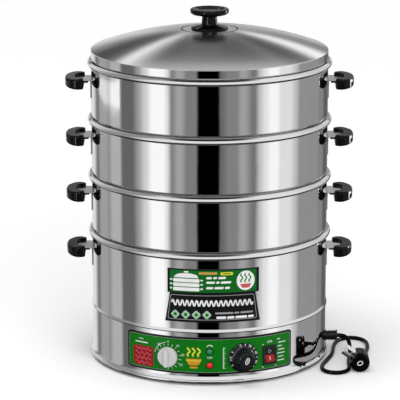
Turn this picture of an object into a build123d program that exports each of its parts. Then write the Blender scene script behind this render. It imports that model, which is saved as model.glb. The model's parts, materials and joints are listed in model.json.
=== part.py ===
from build123d import *
import os
from math import cos, pi, radians, sin, sqrt, tan

os.makedirs("parts", exist_ok=True)

# A stacked electric steamer. Lengths are in millimetres, Z = 0 is the surface that it stands on,
# the front with the control panel faces -Y, and azimuths are counted from the front, positive to the right.

# Walls, rims and heights
wall_radius = 200.0
sheet = 1.2
foot_height = 3.0
foot_bead_height = 7.0
foot_bead_projection = 3.6
foot_flange_width = 14.0
base_top = 96.0
joint_height = 5.0
joint_projection = 1.7
pot_rim_top = 224.0
tier_pitch = 96.7
tier_count = 3
rim_height = 8.4
rim_projection = 6.2
rim_round = 2.6
rim_lip = 2.0
socket_depth = 6.5
socket_clearance = 0.6
seat_gap = 0.3
weld_gap = 0.1

# Floors and trays
pot_floor_height = 3.0
tray_height = 4.0
tray_thickness = 1.2
tray_hole_radius = 11.0
tray_hole_sides = 6
tray_ring_pitch = 60.0
tray_ring_count = 2
first_ring_holes = 6

# Lid and its knob
lid_band_height = 15.7
dome_rise = 36.0
plateau_radius = 48.0
dome_steps = 4
knob_height = 34.0
knob_flange_radius = 31.0
knob_flange_height = 4.0
knob_flange_slope = 4.0
knob_stem_radius = 12.0
knob_disc_radius = 33.0
knob_disc_height = 8.0
knob_disc_slope = 2.0
knob_disc_taper = 1.0
knob_dish_depth = 3.0
knob_dish_radius = 26.0
knob_dish_slope = 6.0
knob_screw_radius = 3.0
knob_screw_bite = 14.0
knob_bore_spare = 1.0
knob_screw_head_radius = 6.0
knob_screw_head_height = 3.0
screw_clearance = 0.3
washer_radius = 11.0
washer_thickness = 1.5

# Handles
handle_drop = 35.0
bracket_width = 50.0
bracket_thickness = 1.5
bracket_wall_height = 30.0
tongue_reach = 26.0
grip_gap = 11.5
grip_reach = 43.5
grip_width = 80.0
grip_below = 13.5
grip_above = 5.2
grip_edge_rise = 2.5
grip_edge_drop = 0.7
grip_bevel = 2.0
finger_hollow = 8.0
hollow_floor = 0.95
slot_clearance = 0.3
slot_mouth = 5.0
lug_width = 14.0
lug_height = 3.0
lug_reach = 5.5

# Control panel and pot label
panel_half_angle = 42.5
panel_bottom = 19.5
panel_top = 82.4
panel_thickness = 0.8
panel_corner = 5.0
label_left = -73.5
label_right = 83.0
label_bottom = 108.5
label_waist = 158.0
label_top = 199.0
label_inset = 8.0
label_thickness = 0.4

# Controls, placed by azimuth and height
control_height = 47.0
thermostat_azimuth = 16.0
timer_azimuth = -20.0
lamp_azimuth = 0.0
lamp_heights = {"green_lamp": 58.8, "red_lamp": 35.2}
switch_azimuth = 29.5
switch_height = 45.5
spindle_radius = 3.0
running_clearance = 0.05
bush_radius = 5.0
spindle_seat = 14.0
thermostat_bore = 14.0
timer_bore = 10.0
push_clearance = 0.02
bush_clearance = 0.2
knob_lift = 0.6

thermostat_skirt_radius = 25.0
thermostat_skirt_height = 2.8
thermostat_root_radius = 18.5
thermostat_root_height = 5.0
thermostat_waist_radius = 15.0
thermostat_waist_height = 10.0
thermostat_cap_radius = 13.0
thermostat_knob_height = 24.0
thermostat_body_size = 34.0
thermostat_body_depth = 26.0

timer_disc_radius = 17.0
timer_disc_height = 7.0
timer_bar_width = 7.0
timer_bar_inset = 1.0
timer_bar_height = 8.0
timer_body_size = 46.0
timer_body_depth = 34.0

bezel_width = 26.0
bezel_height = 33.0
bezel_thickness = 2.0
switch_body_width = 21.0
switch_body_height = 28.5
switch_body_depth = 24.0
rocker_width = 16.6
rocker_half_length = 11.6
rocker_side_gap = 0.5
rocker_lens_thickness = 1.6
rocker_rest_tilt = 8.0
rocker_pin_radius = 1.5
rocker_pin_length = 1.2
cavity_half_length = 13.1
cavity_depth = 11.6
rocker_pivot_depth = 6.2
rocker_ridge = 5.0
rocker_tip = 7.5
rocker_root = 4.0

lamp_flange_radius = 5.5
lamp_flange_height = 1.2
lamp_dome_height = 3.0
lamp_body_radius = 4.0
lamp_body_depth = 22.0
lamp_hole_gap = 0.2

# Inside the base
heating_plate_radius = 115.0
heating_plate_thickness = 14.0
terminal_radius = 4.0
terminal_length = 14.0
terminal_spacing = 36.0
cutout_radius = 8.0
cutout_height = 10.0
probe_radius = 3.0
probe_length = 60.0
block_size = (36.0, 22.0, 18.0)
cover_thickness = 1.2
vent_radius = 60.0
vent_count = 8
vent_length = 44.0
vent_width = 6.0
foot_inset = 50.0
foot_circle = wall_radius - foot_inset
foot_radius = 12.0
foot_count = 4
cover_screw_inset = 8.0
cover_screw_circle = wall_radius - cover_screw_inset
cover_screw_radius = 2.0
cover_screw_head_radius = 3.6
cover_screw_head_height = 1.4
cover_screw_point = 2.0

# Mains lead
gland_height = 27.0
gland_radius = 8.0
gland_flange_radius = 9.8
gland_flange_length = 2.5
gland_reach = 21.0
gland_thread_radius = 6.5
gland_thread_length = 10.0
gland_nut_radius = 11.0
gland_nut_thickness = 5.0
cord_diameter = 7.0
cord_sides = 8
plug_radius = 16.5
plug_length = 42.0
plug_tail_length = 14.0
plug_tail_radius = 6.0
plug_tail_end_radius = 4.5
plug_shoulder = 5.0
plug_nose_length = 4.0
plug_nose_inset = 3.0
plug_face_offset = 13.0
plug_roll = 35.0
plug_tip = (253.0, -74.0)
pin_width = 6.3
pin_thickness = 1.6
pin_length = 18.0
pin_circle = 7.5

tiers = ("bottom", "middle", "top")
sides = {"left": -1, "right": 1}


def tier_rim_top(index):
    """Height of a tier's rim; index -1 is the pot."""
    return pot_rim_top + tier_pitch * (index + 1)


def save(builder, label):
    """Label a finished piece and write it to its own file."""
    builder.part.label = label
    export_step(builder.part, f"parts/{label}.step")


def outward_plane(azimuth, height, radius=wall_radius):
    """A plane that faces outwards at an azimuth, its X to the right and its Y up."""
    angle = radians(azimuth)
    outward = (sin(angle), -cos(angle), 0)
    tangent = (cos(angle), sin(angle), 0)
    place = (radius * outward[0], radius * outward[1], height)
    return Plane(origin=place, x_dir=tangent, z_dir=outward)


# Every wall and rim is a profile turned once about Z. The rim is a rolled bead outside the wall,
# with a socket in it that the straight wall of the next vessel drops into.
def rim_points(top):
    """The rim's outline from the wall's outside, over the bead and down to the socket's ledge."""
    outer = wall_radius + rim_projection
    inner = wall_radius + socket_clearance
    return [
        (wall_radius, top - rim_height),
        (outer, top - rim_height + rim_round),
        (outer, top - rim_round),
        (inner + rim_lip, top),
        (inner, top),
        (inner, top - socket_depth),
        (wall_radius - sheet, top - socket_depth),
    ]


def outline(points, plane=Plane.XZ):
    """A closed face through the points, X being the distance from the axis on the default plane."""
    with BuildSketch(plane) as section:
        with BuildLine():
            Polyline(*points, close=True)
        make_face()
    return section.sketch


def make_turned(points, label):
    """A piece turned from its outline about the steamer's axis."""
    with BuildPart() as piece:
        revolve(outline(points), axis=Axis.Z)
    save(piece, label)


for index, tier in enumerate(tiers):
    wall_bottom = tier_rim_top(index - 1) - socket_depth + seat_gap
    tier_points = [(wall_radius - sheet, wall_bottom), (wall_radius, wall_bottom)]
    tier_points += rim_points(tier_rim_top(index))
    make_turned(tier_points, f"tier_{tier}_shell")

    with BuildPart() as tray:
        with BuildSketch(Plane.XY.offset(wall_bottom + tray_height)):
            Circle(wall_radius - sheet - weld_gap)
            RegularPolygon(tray_hole_radius, tray_hole_sides, mode=Mode.SUBTRACT)
            for ring in range(1, tray_ring_count + 1):
                with PolarLocations(ring * tray_ring_pitch, ring * first_ring_holes):
                    RegularPolygon(tray_hole_radius, tray_hole_sides, mode=Mode.SUBTRACT)
        extrude(amount=tray_thickness)
    save(tray, f"tier_{tier}_tray")

pot_floor = base_top + pot_floor_height
pot_points = [(0, pot_floor + sheet), (0, pot_floor), (wall_radius - sheet, pot_floor)]
pot_points += [(wall_radius - sheet, base_top), (wall_radius, base_top)]
pot_points += rim_points(pot_rim_top)
pot_points += [(wall_radius - sheet, pot_floor + sheet)]
make_turned(pot_points, "pot_shell")

# The lid: a straight skirt that stands in the top rim, a band, and a low dome that ends in a flat plateau.
lid_skirt_bottom = tier_rim_top(tier_count - 1) - socket_depth + seat_gap
lid_band_top = tier_rim_top(tier_count - 1) + lid_band_height
dome_radius = (wall_radius ** 2 + dome_rise ** 2) / (2 * dome_rise)


def dome_height(radius):
    """Height of the dome's outside at a distance from the axis."""
    return lid_band_top + dome_rise - dome_radius + sqrt(dome_radius ** 2 - radius ** 2)


plateau = dome_height(plateau_radius)
dome_width = wall_radius - plateau_radius
dome_radii = [wall_radius - dome_width * step / dome_steps for step in range(1, dome_steps + 1)]
lid_hole = knob_screw_radius + screw_clearance
lid_points = [(wall_radius - sheet, lid_skirt_bottom), (wall_radius, lid_skirt_bottom), (wall_radius, lid_band_top)]
lid_points += [(radius, dome_height(radius)) for radius in dome_radii]
lid_points += [(lid_hole, plateau), (lid_hole, plateau - sheet)]
lid_points += [(radius, dome_height(radius) - sheet) for radius in reversed(dome_radii)]
lid_points += [(wall_radius - sheet, lid_band_top - sheet)]
make_turned(lid_points, "lid_shell")

knob_top = plateau + knob_height
with BuildPart() as lid_knob:
    knob_points = [
        (0, plateau),
        (knob_flange_radius, plateau),
        (knob_flange_radius, plateau + knob_flange_height / 2),
        (knob_stem_radius, plateau + knob_flange_height + knob_flange_slope),
        (knob_stem_radius, knob_top - knob_disc_height - knob_disc_slope),
        (knob_disc_radius, knob_top - knob_disc_height + knob_disc_slope),
        (knob_disc_radius - knob_disc_taper, knob_top),
        (knob_dish_radius, knob_top),
        (knob_dish_radius - knob_dish_slope, knob_top - knob_dish_depth),
        (0, knob_top - knob_dish_depth),
    ]
    revolve(outline(knob_points), axis=Axis.Z)
    with BuildSketch(Plane.XY.offset(plateau)):
        Circle(knob_screw_radius + screw_clearance)
    extrude(amount=knob_screw_bite + knob_bore_spare, mode=Mode.SUBTRACT)
save(lid_knob, "lid_knob")

washer_top = plateau - sheet
with BuildPart() as knob_washer:
    with BuildSketch(Plane.XY.offset(washer_top - washer_thickness)):
        Circle(washer_radius)
        Circle(knob_screw_radius + screw_clearance, mode=Mode.SUBTRACT)
    extrude(amount=washer_thickness)
save(knob_washer, "knob_washer")

with BuildPart() as knob_screw:
    with BuildSketch(Plane.XY.offset(washer_top - washer_thickness - knob_screw_head_height)):
        Circle(knob_screw_head_radius)
    extrude(amount=knob_screw_head_height)
    with BuildSketch(Plane.XY.offset(washer_top - washer_thickness)):
        Circle(knob_screw_radius)
    extrude(amount=washer_thickness + sheet + knob_screw_bite)
save(knob_screw, "knob_screw")


# Handles. A bracket is a wall plate with a flat tongue folded out of its top; the moulded grip is pushed
# over the tongue. Each is drawn at the right (+X) or, turned half a turn, at the left.
def flat_plane(side, height):
    """A level plane whose X points outwards on one side of the steamer."""
    return Plane(origin=(0, 0, height), x_dir=(side, 0, 0), z_dir=(0, 0, 1))


def upright_plane(side, height):
    """An upright plane through the axis, X outwards and Y up."""
    return Plane(origin=(0, 0, height), x_dir=(side, 0, 0), z_dir=(0, -side, 0))


def make_bracket(side, tongue_height, label):
    """Wall plate and tongue of one handle; tongue_height is the middle of the tongue."""
    plate_inner = wall_radius + weld_gap
    plate_bottom = tongue_height - bracket_wall_height
    tongue_bottom = tongue_height - bracket_thickness / 2
    with BuildPart() as bracket:
        with BuildSketch(flat_plane(side, plate_bottom)):
            Circle(plate_inner + bracket_thickness)
            Circle(plate_inner, mode=Mode.SUBTRACT)
            with Locations((wall_radius, 0)):
                Rectangle(wall_radius / 2, bracket_width, mode=Mode.INTERSECT)
        extrude(amount=tongue_bottom + bracket_thickness - plate_bottom)
        with BuildSketch(flat_plane(side, tongue_bottom)):
            with Locations((wall_radius + tongue_reach, 0)):
                Rectangle(tongue_reach * 2, bracket_width, align=(Align.MAX, Align.CENTER))
            Circle(plate_inner, mode=Mode.SUBTRACT)
        extrude(amount=bracket_thickness)
    save(bracket, label)


def make_grip(side, tongue_height, label):
    """The moulded grip: a thick half-oval slab, hollowed along its inner top edge, slotted for the tongue."""
    inner = wall_radius + grip_gap
    outer = wall_radius + grip_reach
    hollow_bottom = bracket_thickness / 2 + hollow_floor
    hollow_height = grip_above - hollow_bottom
    lean = sin(radians(45))
    with BuildPart() as grip:
        with BuildSketch(upright_plane(side, tongue_height)):
            with BuildLine():
                ThreePointArc(
                    (inner, hollow_bottom),
                    (inner + finger_hollow * lean, grip_above - hollow_height * lean),
                    (inner + finger_hollow, grip_above),
                )
                Polyline(
                    (inner + finger_hollow, grip_above),
                    (outer, grip_above - grip_edge_drop),
                    (outer, grip_edge_rise - grip_below),
                    (inner, -grip_below),
                    (inner, hollow_bottom),
                )
            make_face()
        extrude(amount=grip_width / 2, both=True)
        with BuildSketch(flat_plane(side, tongue_height - grip_below)):
            with Locations((inner, 0)):
                Ellipse(grip_reach - grip_gap, grip_width / 2)
        extrude(amount=grip_below + grip_above, mode=Mode.INTERSECT)
        oval_side = grip.faces().filter_by(GeomType.PLANE, reverse=True).sort_by(SortBy.AREA)[-1]
        chamfer(oval_side.edges().sort_by(SortBy.LENGTH)[-2:], length=grip_bevel)
        with BuildSketch(flat_plane(side, tongue_height - bracket_thickness / 2 - lug_height - slot_clearance)):
            with Locations((inner - lug_reach, 0)):
                Rectangle(2 * lug_reach, lug_width, align=(Align.MIN, Align.CENTER))
        extrude(amount=lug_height)
        with BuildSketch(flat_plane(side, tongue_height - bracket_thickness / 2 - slot_clearance)):
            with Locations((inner - slot_mouth, 0)):
                Rectangle(
                    slot_mouth + tongue_reach - grip_gap + slot_clearance,
                    bracket_width + 2 * slot_clearance,
                    align=(Align.MIN, Align.CENTER),
                )
        extrude(amount=bracket_thickness + 2 * slot_clearance, mode=Mode.SUBTRACT)
    save(grip, label)


vessels = {"pot": pot_rim_top}
for index, tier in enumerate(tiers):
    vessels[f"tier_{tier}"] = tier_rim_top(index)

for vessel, rim_top in vessels.items():
    for side_name, side in sides.items():
        make_bracket(side, rim_top - handle_drop, f"{vessel}_bracket_{side_name}")
        make_grip(side, rim_top - handle_drop, f"{vessel}_grip_{side_name}")


# The base: a drum with a rolled foot, an inward flange that carries the bottom cover, and a rolled upper joint.
panel_face = wall_radius + weld_gap + panel_thickness
round_holes = [
    (thermostat_azimuth, control_height, bush_radius + bush_clearance),
    (timer_azimuth, control_height, bush_radius + bush_clearance),
]
round_holes += [(lamp_azimuth, height, lamp_body_radius + lamp_hole_gap) for height in lamp_heights.values()]
gland_azimuth = 90.0
cover_bottom = foot_height + sheet + weld_gap

with BuildPart() as base_shell:
    foot_outer = wall_radius + foot_bead_projection
    joint_outer = wall_radius + joint_projection
    bead_round = foot_bead_height / 4
    joint_round = joint_height / 4
    base_points = [
        (wall_radius - foot_flange_width, foot_height),
        (foot_outer - bead_round, foot_height),
        (foot_outer, foot_height + bead_round),
        (foot_outer, foot_height + foot_bead_height - bead_round),
        (wall_radius, foot_height + foot_bead_height),
        (wall_radius, base_top - joint_height),
        (joint_outer, base_top - joint_height + joint_round),
        (joint_outer, base_top - joint_round),
        (wall_radius, base_top),
        (wall_radius - sheet, base_top),
        (wall_radius - sheet, foot_height + sheet),
        (wall_radius - foot_flange_width, foot_height + sheet),
    ]
    revolve(outline(base_points), axis=Axis.Z)
    for azimuth, height, radius in round_holes + [(gland_azimuth, gland_height, gland_thread_radius + bush_clearance)]:
        with BuildSketch(outward_plane(azimuth, height)):
            Circle(radius)
        extrude(amount=3 * sheet, both=True, mode=Mode.SUBTRACT)
    with BuildSketch(outward_plane(switch_azimuth, switch_height)):
        Rectangle(switch_body_width + 2 * bush_clearance, switch_body_height + 2 * bush_clearance)
    extrude(amount=3 * sheet, both=True, mode=Mode.SUBTRACT)
    with BuildSketch(Plane.XY.offset(foot_height)):
        with PolarLocations(cover_screw_circle, foot_count, start_angle=45):
            Circle(cover_screw_radius + weld_gap)
    extrude(amount=sheet, mode=Mode.SUBTRACT)
save(base_shell, "base_shell")

with BuildPart() as control_panel:
    with BuildSketch(Plane.XY.offset(panel_bottom)):
        Circle(panel_face)
        Circle(wall_radius + weld_gap, mode=Mode.SUBTRACT)
    extrude(amount=panel_top - panel_bottom)
    with BuildSketch(outward_plane(0, (panel_bottom + panel_top) / 2, 0)):
        RectangleRounded(
            2 * panel_face * sin(radians(panel_half_angle)),
            panel_top - panel_bottom,
            panel_corner,
        )
    extrude(amount=2 * wall_radius, mode=Mode.INTERSECT)
    for azimuth, height, radius in round_holes:
        with BuildSketch(outward_plane(azimuth, height)):
            Circle(radius)
        extrude(amount=3 * sheet, both=True, mode=Mode.SUBTRACT)
    with BuildSketch(outward_plane(switch_azimuth, switch_height)):
        Rectangle(switch_body_width + 2 * bush_clearance, switch_body_height + 2 * bush_clearance)
    extrude(amount=3 * sheet, both=True, mode=Mode.SUBTRACT)
save(control_panel, "control_panel")

with BuildPart() as pot_label:
    with BuildSketch(Plane.XY.offset(label_bottom)):
        Circle(wall_radius + weld_gap + label_thickness)
        Circle(wall_radius + weld_gap, mode=Mode.SUBTRACT)
    extrude(amount=label_top - label_bottom)
    label_points = [
        (label_left + label_inset / 2, label_top),
        (label_right - label_inset / 4, label_top),
        (label_right - label_inset / 4, label_waist),
        (label_right - label_inset, label_waist),
        (label_right, label_bottom),
        (label_left, label_bottom),
        (label_left + label_inset, label_waist),
        (label_left + label_inset / 2, label_waist),
    ]
    extrude(outline(label_points, outward_plane(0, 0, 0)), amount=2 * wall_radius, mode=Mode.INTERSECT)
save(pot_label, "pot_label")


# Controls. Each stands on a plane that faces outwards from the curved wall.
def turning_plane(azimuth, height, radius):
    """A plane through a control's axis: X across the axis, Y outwards along it."""
    angle = radians(azimuth)
    place = (radius * sin(angle), -radius * cos(angle), height)
    return Plane(origin=place, x_dir=(cos(angle), sin(angle), 0), z_dir=(0, 0, -1))


def outward_axis(azimuth, height):
    """The line along which a control faces outwards."""
    angle = radians(azimuth)
    return Axis((0, 0, height), (sin(angle), -cos(angle), 0))


def make_control_body(azimuth, size, depth, label):
    """A square switch body behind the wall, with the bush that carries its spindle."""
    face = sqrt((wall_radius - sheet) ** 2 - (size / 2) ** 2) - seat_gap
    with BuildPart() as body:
        with BuildSketch(outward_plane(azimuth, control_height, face)):
            Rectangle(size, size)
        extrude(amount=-depth)
        with BuildSketch(outward_plane(azimuth, control_height, face)):
            Circle(bush_radius)
        extrude(amount=panel_face + knob_lift / 2 - face)
        with BuildSketch(outward_plane(azimuth, control_height, panel_face + knob_lift / 2)):
            Circle(spindle_radius + running_clearance)
        extrude(amount=-spindle_seat, mode=Mode.SUBTRACT)
    save(body, label)


def make_spindle(azimuth, knob_bore, label):
    """A spindle from the bottom of its bush to the bottom of the knob's bore."""
    with BuildPart() as spindle:
        start = panel_face + knob_lift / 2 - spindle_seat + seat_gap
        with BuildSketch(outward_plane(azimuth, control_height, start)):
            Circle(spindle_radius)
        extrude(amount=panel_face + knob_lift + knob_bore - seat_gap - start)
    save(spindle, label)


make_control_body(thermostat_azimuth, thermostat_body_size, thermostat_body_depth, "thermostat_body")
make_control_body(timer_azimuth, timer_body_size, timer_body_depth, "timer_body")
make_spindle(thermostat_azimuth, thermostat_bore, "thermostat_spindle")
make_spindle(timer_azimuth, timer_bore, "timer_spindle")

knob_back = panel_face + knob_lift
with BuildPart() as thermostat_knob:
    thermostat_points = [
        (0, 0),
        (thermostat_skirt_radius, 0),
        (thermostat_skirt_radius, thermostat_skirt_height),
        (thermostat_root_radius, thermostat_root_height),
        (thermostat_waist_radius, thermostat_waist_height),
        (thermostat_cap_radius, thermostat_knob_height),
        (0, thermostat_knob_height),
    ]
    revolve(
        outline(thermostat_points, turning_plane(thermostat_azimuth, control_height, knob_back)),
        axis=outward_axis(thermostat_azimuth, control_height),
    )
    with BuildSketch(outward_plane(thermostat_azimuth, control_height, knob_back)):
        Circle(spindle_radius + push_clearance)
    extrude(amount=thermostat_bore, mode=Mode.SUBTRACT)
save(thermostat_knob, "thermostat_knob")

with BuildPart() as timer_knob:
    with BuildSketch(outward_plane(timer_azimuth, control_height, knob_back)):
        Circle(timer_disc_radius)
    extrude(amount=timer_disc_height)
    with BuildSketch(outward_plane(timer_azimuth, control_height, knob_back + timer_disc_height)):
        SlotOverall(2 * (timer_disc_radius - timer_bar_inset), timer_bar_width, rotation=90)
    extrude(amount=timer_bar_height)
    with BuildSketch(outward_plane(timer_azimuth, control_height, knob_back)):
        Circle(spindle_radius + push_clearance)
    extrude(amount=timer_bore, mode=Mode.SUBTRACT)
save(timer_knob, "timer_knob")

# The rocker switch: a housing with its bezel outside the panel, and a rocker that tips on two pins.
switch_back = panel_face + weld_gap
switch_face = switch_back + bezel_thickness
pivot_radius = switch_face - rocker_pivot_depth
switch_angle = radians(switch_azimuth)
switch_outward = Vector(sin(switch_angle), -cos(switch_angle), 0)
switch_across = Vector(cos(switch_angle), sin(switch_angle), 0)
pivot = switch_outward * pivot_radius + Vector(0, 0, switch_height)

with BuildPart() as switch_housing:
    with BuildSketch(outward_plane(switch_azimuth, switch_height, switch_back)):
        Rectangle(bezel_width, bezel_height)
    extrude(amount=bezel_thickness)
    with BuildSketch(outward_plane(switch_azimuth, switch_height, switch_back)):
        Rectangle(switch_body_width, switch_body_height)
    extrude(amount=-switch_body_depth)
    with BuildSketch(outward_plane(switch_azimuth, switch_height, switch_face)):
        Rectangle(rocker_width + 2 * rocker_side_gap, 2 * cavity_half_length)
    extrude(amount=-cavity_depth, mode=Mode.SUBTRACT)
    with BuildSketch(Plane(origin=pivot, x_dir=(0, 0, 1), z_dir=switch_across)):
        Circle(rocker_pin_radius + running_clearance)
    extrude(
        amount=rocker_width / 2 + rocker_side_gap + rocker_pin_length + bush_clearance,
        both=True,
        mode=Mode.SUBTRACT,
    )
save(switch_housing, "switch_housing")

tilt = radians(rocker_rest_tilt)
rocker_up = Vector(0, 0, 1) * cos(tilt) - switch_outward * sin(tilt)
rocker_plane = Plane(origin=pivot, x_dir=rocker_up, z_dir=switch_across)
rocker_body_points = [
    (rocker_half_length, rocker_tip),
    (0, rocker_ridge),
    (0, rocker_ridge - rocker_lens_thickness),
    (-rocker_half_length, rocker_tip - rocker_lens_thickness),
    (-rocker_half_length, rocker_ridge / 2),
    (-rocker_half_length / 2, -rocker_root),
    (rocker_half_length / 2, -rocker_root),
    (rocker_half_length, rocker_ridge / 2),
]
with BuildPart() as power_rocker:
    extrude(outline(rocker_body_points, rocker_plane), amount=rocker_width / 2, both=True)
    with BuildSketch(rocker_plane):
        Circle(rocker_pin_radius)
    extrude(amount=rocker_width / 2 + rocker_side_gap + rocker_pin_length, both=True)
save(power_rocker, "power_rocker")

rocker_lens_points = [
    (0, rocker_ridge - rocker_lens_thickness),
    (0, rocker_ridge),
    (-rocker_half_length, rocker_tip),
    (-rocker_half_length, rocker_tip - rocker_lens_thickness),
]
with BuildPart() as rocker_lens:
    extrude(outline(rocker_lens_points, rocker_plane), amount=rocker_width / 2, both=True)
save(rocker_lens, "rocker_lens")

lamp_points = [
    (0, -lamp_body_depth),
    (lamp_body_radius, -lamp_body_depth),
    (lamp_body_radius, 0),
    (lamp_flange_radius, 0),
    (lamp_flange_radius, lamp_flange_height),
    (lamp_flange_radius / 2, lamp_flange_height + lamp_dome_height),
    (0, lamp_flange_height + lamp_dome_height),
]
for lamp, lamp_height in lamp_heights.items():
    with BuildPart() as lamp_piece:
        lamp_plane = turning_plane(lamp_azimuth, lamp_height, panel_face + running_clearance)
        revolve(outline(lamp_points, lamp_plane), axis=outward_axis(lamp_azimuth, lamp_height))
    save(lamp_piece, lamp)

# What heats the water: a plate under the pot's floor with its terminals, the thermal cut-out and the probe.
plate_bottom = pot_floor - weld_gap - heating_plate_thickness
with BuildPart() as heating_plate:
    with BuildSketch(Plane.XY.offset(plate_bottom)):
        Circle(heating_plate_radius)
    extrude(amount=heating_plate_thickness)
save(heating_plate, "heating_plate")

with BuildPart() as heater_terminals:
    with BuildSketch(Plane.XY.offset(plate_bottom)):
        with GridLocations(terminal_spacing, 0, 2, 1):
            Circle(terminal_radius)
    extrude(amount=-terminal_length)
save(heater_terminals, "heater_terminals")

with BuildPart() as thermal_cutout:
    with BuildSketch(Plane.XY.offset(plate_bottom)):
        with Locations((-heating_plate_radius / 2, 0)):
            Circle(cutout_radius)
    extrude(amount=-cutout_height)
save(thermal_cutout, "thermal_cutout")

with BuildPart() as thermostat_probe:
    with BuildSketch(Plane.XZ.offset(-probe_length / 2)):
        with Locations((heating_plate_radius / 2, plate_bottom - probe_radius)):
            Circle(probe_radius)
    extrude(amount=probe_length)
save(thermostat_probe, "thermostat_probe")

with BuildPart() as bottom_cover:
    with BuildSketch(Plane.XY.offset(cover_bottom)):
        Circle(wall_radius - sheet - socket_clearance)
        with PolarLocations(vent_radius, vent_count):
            Rectangle(vent_length, vent_width, mode=Mode.SUBTRACT)
        with PolarLocations(cover_screw_circle, foot_count, start_angle=45):
            Circle(cover_screw_radius + weld_gap, mode=Mode.SUBTRACT)
    extrude(amount=cover_thickness)
save(bottom_cover, "bottom_cover")

with BuildPart() as cover_screws:
    with BuildSketch(Plane.XY.offset(foot_height)):
        with PolarLocations(cover_screw_circle, foot_count, start_angle=45):
            Circle(cover_screw_head_radius)
    extrude(amount=-cover_screw_head_height)
    with BuildSketch(Plane.XY.offset(foot_height)):
        with PolarLocations(cover_screw_circle, foot_count, start_angle=45):
            Circle(cover_screw_radius)
    extrude(amount=cover_bottom + cover_thickness + cover_screw_point - foot_height)
save(cover_screws, "cover_screws")

with BuildPart() as rubber_feet:
    with BuildSketch(Plane.XY):
        with PolarLocations(foot_circle, foot_count, start_angle=45):
            Circle(foot_radius)
    extrude(amount=cover_bottom)
save(rubber_feet, "rubber_feet")

# The mains lead: a terminal block inside, a ribbed gland through the wall, the cord in two flat loops, the plug.
with BuildPart() as terminal_block:
    with BuildSketch(Plane.XY.offset(cover_bottom + cover_thickness)):
        with Locations((foot_circle - block_size[0] / 2, 0)):
            Rectangle(block_size[0], block_size[1])
    extrude(amount=block_size[2])
save(terminal_block, "terminal_block")

gland_points = [
    (0, -gland_thread_length),
    (gland_thread_radius, -gland_thread_length),
    (gland_thread_radius, 0),
    (gland_radius, 0),
    (gland_radius, gland_reach - gland_flange_length),
    (gland_flange_radius, gland_reach - gland_flange_length),
    (gland_flange_radius, gland_reach),
    (0, gland_reach),
]
with BuildPart() as cord_gland:
    revolve(
        outline(gland_points, turning_plane(gland_azimuth, gland_height, wall_radius + weld_gap)),
        axis=outward_axis(gland_azimuth, gland_height),
    )
save(cord_gland, "cord_gland")

with BuildPart() as gland_nut:
    with BuildSketch(outward_plane(gland_azimuth, gland_height, wall_radius - sheet - 2 * seat_gap)):
        RegularPolygon(gland_nut_radius, 6)
        Circle(gland_thread_radius + running_clearance, mode=Mode.SUBTRACT)
    extrude(amount=-gland_nut_thickness)
save(gland_nut, "gland_nut")

cord_floor = cord_diameter / 2 + 0.1
plug_height = plug_radius + 0.1
cord_exit = (wall_radius + weld_gap + gland_reach, 0.0, gland_height)
cord_route = [
    cord_exit,
    (231.5, 0.0, gland_height),
    (240.0, -8.5, 22.5),
    (242.0, -22.0, 14.0),
    (241.0, -39.0, 7.0),
    (238.0, -62.0, cord_floor),
    (236.0, -92.0, cord_floor),
    (235.5, -124.0, cord_floor),
    (222.0, -141.0, cord_floor),
    (202.0, -140.0, cord_floor),
    (189.0, -124.0, cord_floor),
    (191.0, -96.0, cord_floor),
    (202.0, -64.0, cord_floor),
    (211.0, -34.0, cord_floor),
    (214.0, -2.0, cord_floor),
    (218.0, 28.0, cord_floor),
    (227.0, 52.0, cord_floor),
    (244.0, 64.0, cord_floor),
    (263.0, 58.0, cord_floor),
    (273.5, 40.0, cord_floor),
    (275.0, 14.0, cord_floor),
    (272.0, -12.0, cord_floor),
    (266.0, -35.0, 6.5),
    (257.0, -51.0, 13.0),
    (plug_tip[0], plug_tip[1] + 10.0, plug_height),
    (plug_tip[0], plug_tip[1], plug_height),
]


def bend_radii(points):
    """The largest easy arc at each corner of a route."""
    radii = []
    for before, corner, after in zip(points, points[1:], points[2:]):
        run_in = Vector(*corner) - Vector(*before)
        run_out = Vector(*after) - Vector(*corner)
        turn = radians(run_in.get_angle(run_out))
        radii.append(0.45 * min(run_in.length, run_out.length) / tan(turn / 2))
    return radii


cord_radii = bend_radii(cord_route)
with BuildPart() as power_cord:
    with BuildLine() as cord_line:
        FilletPolyline(*cord_route, radius=cord_radii)
    with BuildSketch(Plane(origin=cord_line.line @ 0, z_dir=cord_line.line % 0)):
        RegularPolygon(cord_diameter / 2, cord_sides, major_radius=False, rotation=180 / cord_sides)
    sweep()
save(power_cord, "power_cord")
cord_length = sum(edge.length for edge in cord_line.edges())
cord_section = cord_sides * (cord_diameter / 2) ** 2 * tan(pi / cord_sides)
print("cord length", round(cord_length, 1), "radii", [round(radius, 1) for radius in cord_radii])
print("cord volume over section times length", round(power_cord.part.volume / cord_section / cord_length, 4))

# The plug: a round moulded body along the cord, with a flat face that the three blades stand out of.
plug_start = Vector(plug_tip[0], plug_tip[1], plug_height)
plug_way = Vector(0, -1, 0)
plug_points = [
    (0, 0),
    (0, plug_tail_end_radius),
    (plug_tail_length, plug_tail_radius),
    (plug_tail_length + plug_shoulder, plug_radius),
    (plug_tail_length + plug_length - plug_nose_length, plug_radius),
    (plug_tail_length + plug_length, plug_radius - plug_nose_inset),
    (plug_tail_length + plug_length, 0),
]
pin_way = Vector(-cos(radians(plug_roll)), 0, sin(radians(plug_roll)))
plug_middle = plug_start + plug_way * (plug_tail_length + plug_length / 2)
pin_plane = Plane(origin=plug_middle + pin_way * plug_face_offset, x_dir=plug_way, z_dir=pin_way)
with BuildPart() as plug_body:
    revolve(
        outline(plug_points, Plane(origin=plug_start, x_dir=plug_way, z_dir=(-1, 0, 0))),
        axis=Axis(plug_start, plug_way),
    )
    with BuildSketch(pin_plane):
        Rectangle(2 * plug_length, 3 * plug_radius)
    extrude(amount=plug_radius, mode=Mode.SUBTRACT)
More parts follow.
